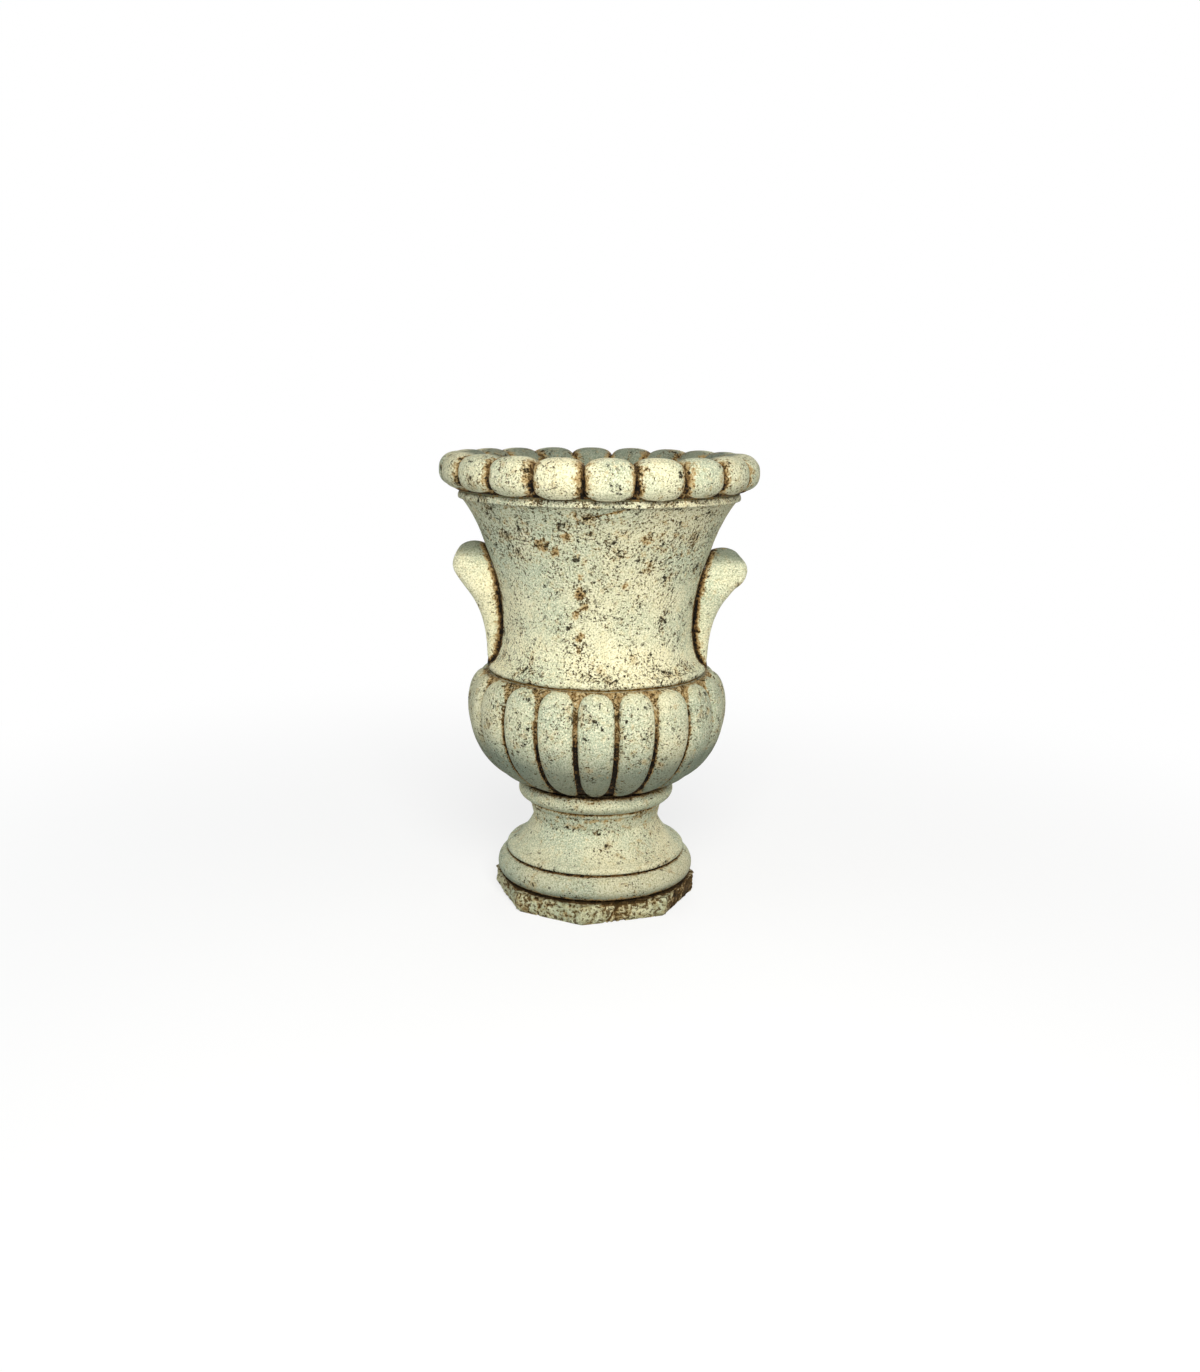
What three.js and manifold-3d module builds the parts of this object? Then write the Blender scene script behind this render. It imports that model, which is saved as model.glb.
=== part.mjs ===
// Campana garden urn planter of cast stone, built up from sections.
//
// Units are millimetres, +Z is up. The origin is the centre of the plinth's underside, the handles
// stand at +X and -X, and the front faces -Y. Each casting lies on the one below in a mortar bed, and
// a steel tube through the middle ties the lower sections together and drains the planting cup.

import * as THREE from 'three';
import { mergeVertices } from 'three/addons/utils/BufferGeometryUtils.js';
import Module from 'manifold-3d';

const wasm = await Module();
wasm.setup();

// ---------------------------------------------------------------------------------------------
// Driving dimensions
// ---------------------------------------------------------------------------------------------

// Heights of the sections, from the ground up.
const plinthHeight = 29.5;
const footHeight = 128;
const bowlHeight = 150.5;
const bellHeight = 233.5;
const rimHeight = 48.5;
const bedThickness = 2.5;

// Plinth: a rock-faced octagon, hewn by hand, so that its corners (in degrees from the front) are
// not quite evenly spaced.
const plinthCorners = [-92, -48.6, -6.8, 44, 86, 131, 176, 221];
const plinthRadius = 139.5;
const plinthUndercut = 8;
const rockDepth = 3.2;
const rockStepsPerSide = 4;

// Foot: base torus, fine groove, scotia, neck fillet and collar.
const torusRadius = 133.7;
const torusHeight = 30;
const torusSeatRadius = 126.5;
const grooveRadius = 118.5;
const grooveWidth = 2.6;
const lipRadius = 121.5;
const lipHeight = 9;
const lipEase = 2;
const neckRadius = 85.3;
const neckLevel = 80;
const scotiaPower = 1.43;
const neckFilletRadius = 91.5;
const neckFilletHeight = 9;
const collarRadius = 105.5;
const collarSeatRadius = 99;
const collarHeight = 22;
const collarOverhang = 3;

// Bowl: gadroons round a plain cup.
const lobeCount = 20;
const lobeTurn = 0;
const lobeRise = 12;
const lobeGap = 6;
const lobeArchHeight = 25;
const lobeTipDrop = 1.5;
const lobeToeHeight = 34;
const lobeToeStart = 0.14;
const lobeEndPower = 2.3;
const lobePower = 2.5;
const lobeThinnest = 0.12;
const bowlRadius = 174;
const bowlToeRadius = 98;
const bowlWidestLevel = 104;
const bowlShoulderRadius = 158.5;
const bellySpare = 0.04;
const shoulderSpare = 0.12;
const cupMouthRadius = 124;
const cupFloorRadius = 88;
const cupFloorThickness = 29.5;
const cupCornerHeight = 60;
const cupDraft = 2;

// Bell: ledge, waist, flare, cavetto and band.
const ledgeRadius = 146.5;
const ledgeSeatRadius = 143.5;
const ledgeHeight = 11;
const ledgeTopRadius = 143.5;
const covePower = 1.9;
const waistRadius = 128.5;
const waistLevel = 56;
const flareRadius = 157;
const flareLevel = 186;
const flarePower = 1.85;
const bandRadius = 183;
const bandHeight = 9;
const bandEase = 2;
const cavettoRadius = 179;
const bellWall = 22.5;

// Rim: a roll of rounded beads.
const beadCount = 20;
const beadTurn = 3.7;
const beadNotch = 11;
const rimRadius = 208.5;
const rimBoreRadius = 152.5;
const rimSeatRadius = 187;
const beadPower = 2.4;
const rollPower = 2.8;

// Handles: horseshoe loops, thick at the crown and thin at the foot.
const handleCrownLevel = 151;
const handleReach = 192.5;
const handleSpread = 31;
const handleFootSpread = 17;
const handleBarWidth = 33;
const handleFootWidth = 15;
const handleFootSink = 4;
const handleFootInset = 2.5;
const handleFullest = 0.86;
const handleArchStart = 0.72;
const handleCrownDraw = 6;
const handleSwellPower = 2.8;
const handleLeanPower = 1.3;
const handleBury = 5;
const handleClearance = 0.3;

// Dowels that pin the handles.
const dowelRadius = 4;
const dowelLength = 40;
const dowelEmbed = 16;
const dowelLevel = 138;
const dowelSpread = 24;
const dowelClearance = 0.3;

// Spigots that register one casting in the next.
const footSpigotRadius = 36;
const footSpigotHeight = 7;
const ledgeSpigotHeight = 8;
const rimSpigotWidth = 9;
const rimSpigotHeight = 8;
const spigotClearance = 1;

// Tie tube, nuts, washers and seal.
const tubeRadius = 10.65;
const tubeBoreRadius = 8;
const tubePassRadius = 12;
const nutAcrossFlats = 30;
const nutHeight = 8;
const nutChamfer = 1.2;
const threadClearance = 0.3;
const washerRadius = 22;
const washerThickness = 3;
const sealRadius = 23;
const sealThickness = 3;
const tubeProjection = 2;
const recessRadius = 30;
const recessMargin = 1;

// How far the mortar is raked back from the faces it joins, and kept away from the spigots.
const mortarRake = 4;
const mortarKeep = 2;
const plinthBedRake = 10;

// Facets round the axis.
const roundFacets = 40;
const bedFacets = 24;
const hardwareFacets = 16;
const handleFacets = 10;
const handleLegSteps = 5;
const handleArchSteps = 4;
const dowelFacets = 10;

// ---------------------------------------------------------------------------------------------
// Levels and places worked out from the driving dimensions
// ---------------------------------------------------------------------------------------------

const footBase = plinthHeight + bedThickness;
const footTop = footBase + footHeight;
const bowlBase = footTop + bedThickness;
const bowlTop = bowlBase + bowlHeight;
const bellBase = bowlTop + bedThickness;
const bellTop = bellBase + bellHeight;
const rimBase = bellTop + bedThickness;

const nutRecessDepth = washerThickness + nutHeight + tubeProjection + recessMargin;
const sumpDepth = nutRecessDepth + sealThickness;
const cupFloor = bowlBase + cupFloorThickness;
const sumpFloor = cupFloor - sumpDepth;
const recessCeiling = nutRecessDepth;
const bellBoreRadius = waistRadius - bellWall;
const ledgeSpigotRadius = cupMouthRadius - spigotClearance;
const rimSpigotRadius = rimBoreRadius - spigotClearance;

// ---------------------------------------------------------------------------------------------
// Materials
// ---------------------------------------------------------------------------------------------

function stone(colour) {
  return new THREE.MeshStandardMaterial({ color: colour, roughness: 0.92, metalness: 0 });
}

const stoneColour = 0xd9d6b4;
const plinthColour = 0xb9b690;
const mortarMaterial = () => new THREE.MeshStandardMaterial({ color: 0x7a6038, roughness: 0.97, metalness: 0 });
const zincMaterial = () => new THREE.MeshStandardMaterial({ color: 0x9a9d9f, roughness: 0.5, metalness: 0.9 });
const pinMaterial = () => new THREE.MeshStandardMaterial({ color: 0xb4b6b8, roughness: 0.35, metalness: 1 });
const rubberMaterial = () => new THREE.MeshStandardMaterial({ color: 0x1c1c1c, roughness: 0.85, metalness: 0 });

// ---------------------------------------------------------------------------------------------
// Shape tools
// ---------------------------------------------------------------------------------------------

/** A closed solid of revolution about Z from a profile of [radius, height] points. */
function revolve(profile, facets = roundFacets) {
  const points = profile.map(([r, z]) => new THREE.Vector2(r, z));
  const geometry = new THREE.LatheGeometry(points, facets);
  geometry.rotateX(Math.PI / 2);
  return geometry;
}

/** Height of a round arch over a base from -1 to 1; a power above 2 makes it squarer. */
function arch(u, power) {
  return Math.max(0, 1 - Math.abs(u) ** power) ** (1 / power);
}

/** The points of a function of 0 to 1, at equal steps from the first one after 0 to 1. */
function trace(steps, at) {
  return Array.from({ length: steps }, (_, i) => at((i + 1) / steps));
}

/** A moulding that swells to a radius between two points [radius, height], without the first. */
function swell(low, high, radius, steps) {
  const pull = (8 * radius - low[0] - high[0]) / 6;
  const rise = high[1] - low[1];
  const curve = new THREE.CubicBezierCurve(
    new THREE.Vector2(...low),
    new THREE.Vector2(pull, low[1] + rise * 0.15),
    new THREE.Vector2(pull, high[1] - rise * 0.15),
    new THREE.Vector2(...high),
  );
  return trace(steps, (t) => curve.getPoint(t).toArray());
}

/** A hollow that leaves a wide low point level and climbs upright into a narrow high one. */
function hollow(low, high, power, steps) {
  return trace(steps, (t) => {
    const inward = Math.sin((t * Math.PI) / 2);
    const upward = 1 - arch(inward, power);
    return [low[0] + (high[0] - low[0]) * inward, low[1] + (high[1] - low[1]) * upward];
  });
}

/** Fall of a curve that starts upright at 0 and has fallen by 1 at 1; spare is the unused share. */
function quarterFall(share, spare) {
  const dip = (x) => 1 - arch(x, 2);
  return dip(share / (1 + spare)) / dip(1 / (1 + spare));
}

/**
 * A closed geometry skinned over rings of equal length, with flat ends where it isn't a loop. Each
 * ring runs anticlockwise as seen from the rings that follow it.
 */
function skin(rings, loop = false) {
  const size = rings[0].length;
  const positions = rings.flat(2);
  const index = [];
  const bands = loop ? rings.length : rings.length - 1;
  for (let i = 0; i < bands; i += 1) {
    const low = i * size;
    const high = ((i + 1) % rings.length) * size;
    for (let j = 0; j < size; j += 1) {
      const k = (j + 1) % size;
      index.push(low + j, low + k, high + k, low + j, high + k, high + j);
    }
  }
  if (!loop) {
    closeEnd(rings[0], 0, positions, index, true);
    closeEnd(rings.at(-1), (rings.length - 1) * size, positions, index, false);
  }
  const geometry = new THREE.BufferGeometry();
  geometry.setAttribute('position', new THREE.Float32BufferAttribute(positions, 3));
  geometry.setIndex(index);
  return geometry;
}

/** Closes one end of a skin with a fan about the ring's middle. */
function closeEnd(ring, start, positions, index, flip) {
  const centre = positions.length / 3;
  const middle = [0, 1, 2].map((axis) => ring.reduce((sum, p) => sum + p[axis], 0) / ring.length);
  positions.push(...middle);
  for (let j = 0; j < ring.length; j += 1) {
    const k = (j + 1) % ring.length;
    index.push(centre, start + (flip ? k : j), start + (flip ? j : k));
  }
}

function polar(radius, degrees, z) {
  const angle = THREE.MathUtils.degToRad(degrees);
  return [radius * Math.sin(angle), -radius * Math.cos(angle), z];
}

function toSolid(geometry) {
  const bare = geometry.clone();
  for (const name of Object.keys(bare.attributes)) {
    if (name !== 'position') bare.deleteAttribute(name);
  }
  const merged = mergeVertices(bare, 1e-4);
  return new wasm.Manifold(new wasm.Mesh({
    numProp: 3,
    vertProperties: new Float32Array(merged.attributes.position.array),
    triVerts: new Uint32Array(merged.index.array),
  }));
}

function toGeometry(solid) {
  const mesh = solid.getMesh();
  const geometry = new THREE.BufferGeometry();
  geometry.setAttribute('position', new THREE.BufferAttribute(new Float32Array(mesh.vertProperties), 3));
  geometry.setIndex(new THREE.BufferAttribute(new Uint32Array(mesh.triVerts), 1));
  return geometry;
}

/** The first geometry with all the others cut away. */
function cut(geometry, ...tools) {
  const solid = tools.reduce((rest, tool) => rest.subtract(toSolid(tool)), toSolid(geometry));
  return toGeometry(solid);
}

/** A plain cylinder about Z between two levels. */
function drum(radius, low, high, facets = hardwareFacets) {
  return revolve([[0, low], [radius, low], [radius, high], [0, high]], facets);
}

/** A ring of rectangular section about Z. */
function hoop(inner, outer, low, high, facets = hardwareFacets) {
  return revolve([[inner, low], [outer, low], [outer, high], [inner, high], [inner, low]], facets);
}

// ---------------------------------------------------------------------------------------------
// Plinth
// ---------------------------------------------------------------------------------------------

/** A repeatable value from -1 to 1 for the roughness at one knuckle of the rock face. */
function rockValue(i, j) {
  const wave = Math.sin(i * 12.9898 + j * 78.233) * 43758.5453;
  return (wave - Math.floor(wave)) * 2 - 1;
}

/** One level of the plinth's outline: straight between its corners, with chips struck off. */
function plinthRing(setBack, height, row) {
  const cornerAt = (k) => {
    const turn = k === plinthCorners.length ? 360 : 0;
    return polar(plinthRadius - setBack, plinthCorners[k % plinthCorners.length] + turn, height);
  };
  const ring = [];
  for (let side = 0; side < plinthCorners.length; side += 1) {
    const from = cornerAt(side);
    const to = cornerAt(side + 1);
    for (let step = 0; step < rockStepsPerSide; step += 1) {
      const share = step / rockStepsPerSide;
      const seed = side * rockStepsPerSide + step;
      const chip = step === 0 ? 0 : rockDepth * Math.abs(rockValue(seed + 1, row + 1));
      const x = from[0] + (to[0] - from[0]) * share;
      const y = from[1] + (to[1] - from[1]) * share;
      const pull = 1 - chip / Math.hypot(x, y);
      ring.push([x * pull, y * pull, height]);
    }
  }
  return ring;
}

function plinthGeometry() {
  const rows = [
    { share: 0, setBack: plinthUndercut },
    { share: 0.32, setBack: plinthUndercut / 4 },
    { share: 0.68, setBack: 0 },
    { share: 1, setBack: plinthUndercut / 3 },
  ];
  const rings = rows.map(({ share, setBack }, row) => plinthRing(setBack, share * plinthHeight, row));
  return cut(
    skin(rings),
    drum(tubePassRadius, -1, plinthHeight + 1),
    drum(recessRadius, -1, recessCeiling),
  );
}

// ---------------------------------------------------------------------------------------------
// Foot
// ---------------------------------------------------------------------------------------------

function footGeometry() {
  const collarLow = footHeight - collarHeight;
  const filletLow = collarLow - neckFilletHeight;
  const lipLow = torusHeight + grooveWidth;
  const lipHigh = lipLow + lipHeight;
  const lipEdge = [lipRadius - lipEase, lipHigh];
  const collarFoot = [neckFilletRadius + collarOverhang, collarLow];
  const socketDepth = footSpigotHeight + spigotClearance - bedThickness;
  const socketRadius = footSpigotRadius + spigotClearance;
  const outline = [
    [tubePassRadius, 0],
    [torusSeatRadius, 0],
    ...swell([torusSeatRadius, 0], [lipRadius, torusHeight], torusRadius, 6),
    [grooveRadius, torusHeight + grooveWidth / 2],
    [lipRadius, lipLow],
    [lipRadius, lipHigh - lipEase],
    lipEdge,
    ...hollow(lipEdge, [neckRadius, neckLevel], scotiaPower, 5),
    [neckFilletRadius - 1, filletLow],
    [neckFilletRadius, filletLow + 1],
    [neckFilletRadius, collarLow],
    collarFoot,
    ...swell(collarFoot, [collarSeatRadius, footHeight], collarRadius, 4),
    [socketRadius, footHeight],
    [socketRadius, footHeight - socketDepth],
    [tubePassRadius, footHeight - socketDepth],
    [tubePassRadius, 0],
  ];
  return revolve(outline).translate(0, 0, footBase);
}

// ---------------------------------------------------------------------------------------------
// Bowl
// ---------------------------------------------------------------------------------------------

/** Radius over the lobes' crests at a height above the bowl's underside. */
function crestRadius(height) {
  if (height <= bowlWidestLevel) {
    const share = (bowlWidestLevel - height) / bowlWidestLevel;
    return bowlRadius - (bowlRadius - bowlToeRadius) * quarterFall(share, bellySpare);
  }
  const share = (height - bowlWidestLevel) / (bowlHeight - bowlWidestLevel);
  return bowlRadius - (bowlRadius - bowlShoulderRadius) * quarterFall(share, shoulderSpare);
}

/** How full a lobe is at a height, from 0 beyond its rounded top to 1 along its body. */
function lobeFullness(height) {
  const archBase = bowlHeight - lobeTipDrop - lobeArchHeight;
  if (height > archBase) return arch(Math.min(1, (height - archBase) / lobeArchHeight), lobeEndPower);
  if (height < lobeToeHeight) return arch((1 - lobeToeStart) * (1 - height / lobeToeHeight), 2);
  return 1;
}

/** The bowl's outer surface: at each level, seven points for each lobe and its gap. */
function gadroonGeometry() {
  const pitch = 360 / lobeCount;
  const tip = bowlHeight - lobeTipDrop;
  const archBase = tip - lobeArchHeight;
  const levels = [
    ...[0, 0.2, 0.6].map((share) => share * lobeToeHeight),
    ...[0.15, 0.45, 0.75].map((share) => lobeToeHeight + share * (archBase - lobeToeHeight)),
    ...[0, 0.5, 0.8, 0.95].map((share) => archBase + share * lobeArchHeight),
    tip,
    bowlHeight,
  ];
  const across = [-1, -0.82, -0.4, 0.4, 0.82, 1];
  const rings = levels.map((height) => {
    const fullness = lobeFullness(height);
    const crest = crestRadius(height);
    const ground = crest - lobeRise;
    const gap = THREE.MathUtils.radToDeg(lobeGap / ground);
    const halfWidth = ((pitch - gap) / 2) * Math.max(fullness, lobeThinnest);
    const rise = lobeRise * Math.sqrt(fullness);
    const ring = [];
    for (let lobe = 0; lobe < lobeCount; lobe += 1) {
      const middle = lobe * pitch + lobeTurn;
      ring.push(polar(ground, middle - pitch / 2, height));
      for (const u of across) {
        ring.push(polar(ground + rise * arch(u, lobePower), middle + u * halfWidth, height));
      }
    }
    return ring;
  });
  return skin(rings);
}

function bowlGeometry() {
  const outer = gadroonGeometry().translate(0, 0, bowlBase);
  const spigot = drum(footSpigotRadius, bowlBase - footSpigotHeight, bowlBase + 1, roundFacets);
  const cup = revolve([
    [0, cupFloor],
    [cupFloorRadius, cupFloor],
    ...trace(4, (t) => {
      const turn = (t * Math.PI) / 2;
      const wall = cupMouthRadius - cupDraft;
      return [
        cupFloorRadius + (wall - cupFloorRadius) * Math.sin(turn),
        cupFloor + cupCornerHeight * (1 - Math.cos(turn)),
      ];
    }),
    [cupMouthRadius, bowlTop],
    [cupMouthRadius, bowlTop + 1],
    [0, bowlTop + 1],
  ]);
  const body = toGeometry(toSolid(outer).add(toSolid(spigot)));
  return cut(
    body,
    cup,
    drum(recessRadius, sumpFloor, cupFloor + 1),
    drum(tubePassRadius, bowlBase - footSpigotHeight - 1, cupFloor + 1),
  );
}

// ---------------------------------------------------------------------------------------------
// Bell
// ---------------------------------------------------------------------------------------------

/** Radius of the flare between a narrow and a wide radius, at a share of its height. */
function flareAt(narrow, wide, share) {
  return narrow + (wide - narrow) * share ** flarePower;
}

/** The bell's outer outline from its seat to the top of its band, pushed out by an offset. */
function bellOutline(offset = 0) {
  const bandLow = bellHeight - bandHeight;
  const ledgeTop = [ledgeTopRadius, ledgeHeight];
  const flareRise = flareLevel - waistLevel;
  const cavettoRise = bandLow - flareLevel;
  const flareSlope = (flarePower * (flareRadius - waistRadius)) / flareRise;
  const cavetto = new THREE.QuadraticBezierCurve(
    new THREE.Vector2(flareRadius, flareLevel),
    new THREE.Vector2(flareRadius + (flareSlope * cavettoRise) / 2, flareLevel + cavettoRise / 2),
    new THREE.Vector2(cavettoRadius, bandLow),
  );
  const outline = [
    [ledgeSeatRadius, 0],
    ...swell([ledgeSeatRadius, 0], ledgeTop, ledgeRadius, 3),
    ...hollow(ledgeTop, [waistRadius, waistLevel], covePower, 4),
    ...trace(5, (t) => [flareAt(waistRadius, flareRadius, t), waistLevel + t * flareRise]),
    ...trace(3, (t) => cavetto.getPoint(t).toArray()),
    [bandRadius, bandLow],
    [bandRadius, bellHeight - bandEase],
    [bandRadius - bandEase, bellHeight],
  ];
  return outline.map(([r, z]) => [r + offset, z]);
}

/** A solid that fills the bell up to its outer outline, for cutting what is planted on it. */
function bellCutter() {
  return revolve([
    [0, 0],
    ...bellOutline(handleClearance),
    [0, bellHeight],
  ]).translate(0, 0, bellBase);
}

function dowelHole(side, row) {
  const place = dowelPlace(side, row);
  return pin(dowelRadius + dowelClearance, dowelLength + 2 * dowelClearance, place, side);
}

function bellGeometry() {
  const mouthRadius = rimSpigotRadius - rimSpigotWidth;
  const hollowRise = bellHeight - waistLevel;
  const body = revolve([
    [ledgeSpigotRadius, -ledgeSpigotHeight],
    [ledgeSpigotRadius, 0],
    ...bellOutline(),
    [rimSpigotRadius, bellHeight],
    [rimSpigotRadius, bellHeight + rimSpigotHeight],
    [mouthRadius, bellHeight + rimSpigotHeight],
    ...trace(4, (t) => [
      flareAt(bellBoreRadius, mouthRadius, 1 - t),
      bellHeight - t * hollowRise,
    ]),
    [bellBoreRadius, -ledgeSpigotHeight],
    [ledgeSpigotRadius, -ledgeSpigotHeight],
  ]).translate(0, 0, bellBase);
  return cut(body, ...dowelPlaces.map(([side, row]) => dowelHole(side, row)));
}

// ---------------------------------------------------------------------------------------------
// Rim
// ---------------------------------------------------------------------------------------------

/** The rim's closed section at one azimuth; fullness is 1 on a bead's crown and 0 in a notch. */
function rimSection(fullness, degrees) {
  const notch = beadNotch * (1 - fullness);
  const halfReach = (rimRadius - rimBoreRadius) / 2;
  const centre = rimBoreRadius + halfReach;
  const middle = rimHeight / 2;
  const section = [polar(rimBoreRadius, degrees, 0), polar(rimSeatRadius, degrees, 0)];
  for (const turn of [-58, -32, 0, 30, 52, 74, 108, 145]) {
    const angle = THREE.MathUtils.degToRad(turn);
    const across = Math.cos(angle);
    const upward = Math.sin(angle);
    const square = (Math.abs(across) ** rollPower + Math.abs(upward) ** rollPower) ** (-1 / rollPower);
    const r = centre + (halfReach - notch) * square * across;
    const z = middle + (middle - notch * Math.abs(upward)) * square * upward;
    section.push(polar(r, degrees, z));
  }
  return section.reverse();
}

function rimGeometry() {
  const pitch = 360 / beadCount;
  const across = [-0.5, -0.43, -0.27, 0, 0.27, 0.43];
  const rings = [];
  for (let bead = 0; bead < beadCount; bead += 1) {
    for (const u of across) {
      rings.push(rimSection(arch(2 * u, beadPower), (bead + u) * pitch + beadTurn));
    }
  }
  return skin(rings, true).translate(0, 0, rimBase);
}

// ---------------------------------------------------------------------------------------------
// Handles and their dowels
// ---------------------------------------------------------------------------------------------

/**
 * Stations along one leg, from its foot on the ledge to the crown. The leg leans out to the full
 * reach, its bar widens as it climbs, and the top is a quarter of an ellipse.
 */
function handleStations() {
  const foot = ledgeHeight - handleFootSink;
  const climb = handleCrownLevel - foot;
  const footReach = ledgeRadius - handleFootInset;
  const station = (rise, spread, crownShare) => {
    const share = Math.min(1, rise / handleFullest);
    const lean = share ** handleSwellPower;
    return {
      level: foot + rise * climb,
      spread,
      reach: footReach + (handleReach - footReach) * lean - handleCrownDraw * crownShare,
      width: handleFootWidth + (handleBarWidth - handleFootWidth) * share,
    };
  };
  const stations = [];
  for (let i = 0; i < handleLegSteps; i += 1) {
    const rise = (i / handleLegSteps) * handleArchStart;
    const splay = (i / handleLegSteps) ** handleLeanPower;
    stations.push(station(rise, handleFootSpread + (handleSpread - handleFootSpread) * splay, 0));
  }
  for (let i = 0; i <= handleArchSteps; i += 1) {
    const angle = ((i / handleArchSteps) * Math.PI) / 2;
    const rise = handleArchStart + (1 - handleArchStart) * Math.sin(angle);
    stations.push(station(rise, handleSpread * Math.cos(angle), Math.sin(angle) ** 4));
  }
  return stations;
}

/** The bell's outer radius at a height above its seat. */
function bellRadiusAt(height) {
  const outline = bellOutline();
  const upper = outline.findIndex(([, z]) => z > height);
  const [r0, z0] = outline[upper - 1];
  const [r1, z1] = outline[upper];
  return r0 + ((r1 - r0) * (height - z0)) / (z1 - z0);
}

/** Distance of the bell's outer face from the middle plane, at a height and a distance off to the side. */
function bellFaceAt(height, y) {
  return Math.sqrt(bellRadiusAt(height) ** 2 - y ** 2);
}

/** One horseshoe handle on the side given, 1 for +X and -1 for -X. */
function handleGeometry(side) {
  const leg = handleStations();
  const stations = [
    ...leg.map((s) => ({ ...s, y: -s.spread })),
    ...leg.slice(0, -1).reverse().map((s) => ({ ...s, y: s.spread })),
  ];
  const middles = stations.map((s) => {
    const inner = bellFaceAt(s.level, s.y) - handleBury;
    return new THREE.Vector3((s.reach + inner) / 2, s.y, s.level);
  });
  const path = new THREE.CatmullRomCurve3(middles, false, 'centripetal');
  const rings = stations.map((s, i) => {
    const middle = middles[i];
    const tangent = path.getTangent(i / (stations.length - 1));
    const outward = new THREE.Vector3(1, 0, 0).addScaledVector(tangent, -tangent.x).normalize();
    const sideways = new THREE.Vector3().crossVectors(tangent, outward).normalize();
    const depth = s.reach - bellFaceAt(s.level, s.y) + handleBury;
    const ring = [];
    for (let k = 0; k < handleFacets; k += 1) {
      const angle = (k * 2 * Math.PI) / handleFacets;
      const point = middle.clone()
        .addScaledVector(outward, (depth / 2) * Math.cos(angle))
        .addScaledVector(sideways, (s.width / 2) * Math.sin(angle));
      ring.push([point.x, point.y, point.z]);
    }
    return ring;
  });
  const bar = skin(rings).translate(0, 0, bellBase);
  if (side < 0) bar.rotateZ(Math.PI);
  return cut(bar, bellCutter(), dowelHole(side, -1), dowelHole(side, 1));
}

const dowelPlaces = [[-1, -1], [-1, 1], [1, -1], [1, 1]];

/** Inner end of a dowel, inside the bell's wall. */
function dowelPlace(side, row) {
  const y = row * dowelSpread;
  const start = bellFaceAt(dowelLevel, y) - dowelEmbed;
  return new THREE.Vector3(side * start, y, bellBase + dowelLevel);
}

/** A cylinder along X from a start point outwards on the side given. */
function pin(radius, length, start, side) {
  const geometry = new THREE.CylinderGeometry(radius, radius, length, dowelFacets);
  geometry.rotateZ(Math.PI / 2);
  const slack = (length - dowelLength) / 2;
  geometry.translate(start.x + side * (length / 2 - slack), start.y, start.z);
  return geometry;
}

// ---------------------------------------------------------------------------------------------
// Mortar beds
// ---------------------------------------------------------------------------------------------

function bed(inner, outer, base) {
  return hoop(inner, outer, base, base + bedThickness, bedFacets);
}

// ---------------------------------------------------------------------------------------------
// Tie tube, nuts, washers and seal
// ---------------------------------------------------------------------------------------------

function backnut(low) {
  const corner = nutAcrossFlats / 2 / Math.cos(Math.PI / 6);
  const bore = tubeRadius + threadClearance;
  const body = revolve([
    [0, low],
    [corner - nutChamfer, low],
    [corner, low + nutChamfer],
    [corner, low + nutHeight - nutChamfer],
    [corner - nutChamfer, low + nutHeight],
    [0, low + nutHeight],
  ], 6);
  return cut(body, drum(bore, low - 1, low + nutHeight + 1));
}

const washerBore = tubeRadius + threadClearance;
const lowerWasherBase = recessCeiling - washerThickness;
const lowerNutBase = lowerWasherBase - nutHeight;
const upperWasherBase = sumpFloor + sealThickness;
const upperNutBase = upperWasherBase + washerThickness;
const tubeLow = lowerNutBase - tubeProjection;
const tubeHigh = upperNutBase + nutHeight + tubeProjection;

// ---------------------------------------------------------------------------------------------
// Assembly
// ---------------------------------------------------------------------------------------------

const group = new THREE.Group();

function place(name, geometry, material) {
  const mesh = new THREE.Mesh(geometry, material);
  mesh.name = name;
  group.add(mesh);
}

place('plinth_slab', plinthGeometry(), stone(plinthColour));
place('foot_pedestal', footGeometry(), stone(stoneColour));
place('gadrooned_bowl', bowlGeometry(), stone(stoneColour));
place('bell_body', bellGeometry(), stone(stoneColour));
place('rim_ring', rimGeometry(), stone(stoneColour));
place('handle_left', handleGeometry(-1), stone(stoneColour));
place('handle_right', handleGeometry(1), stone(stoneColour));

place(
  'plinth_mortar_bed',
  bed(tubePassRadius, torusSeatRadius - plinthBedRake, plinthHeight),
  mortarMaterial(),
);
place(
  'foot_mortar_bed',
  bed(footSpigotRadius + mortarKeep, bowlToeRadius - lobeRise - mortarRake, footTop),
  mortarMaterial(),
);
place(
  'bowl_mortar_bed',
  bed(cupMouthRadius + mortarKeep, ledgeSeatRadius - mortarRake, bowlTop),
  mortarMaterial(),
);
place(
  'rim_mortar_bed',
  bed(rimBoreRadius + mortarKeep, bandRadius - mortarRake, bellTop),
  mortarMaterial(),
);

for (const [side, row] of dowelPlaces) {
  const name = `handle_dowel_${side < 0 ? 'left' : 'right'}_${row < 0 ? 'front' : 'rear'}`;
  place(name, pin(dowelRadius, dowelLength, dowelPlace(side, row), side), pinMaterial());
}

place('tie_tube', hoop(tubeBoreRadius, tubeRadius, tubeLow, tubeHigh), zincMaterial());
place('lower_backnut', backnut(lowerNutBase), zincMaterial());
place('upper_backnut', backnut(upperNutBase), zincMaterial());
place(
  'lower_plate_washer',
  hoop(washerBore, washerRadius, lowerWasherBase, recessCeiling),
  zincMaterial(),
);
place(
  'upper_plate_washer',
  hoop(washerBore, washerRadius, upperWasherBase, upperNutBase),
  zincMaterial(),
);
place('rubber_seal', hoop(washerBore, sealRadius, sumpFloor, upperWasherBase), rubberMaterial());

export default group;
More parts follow.
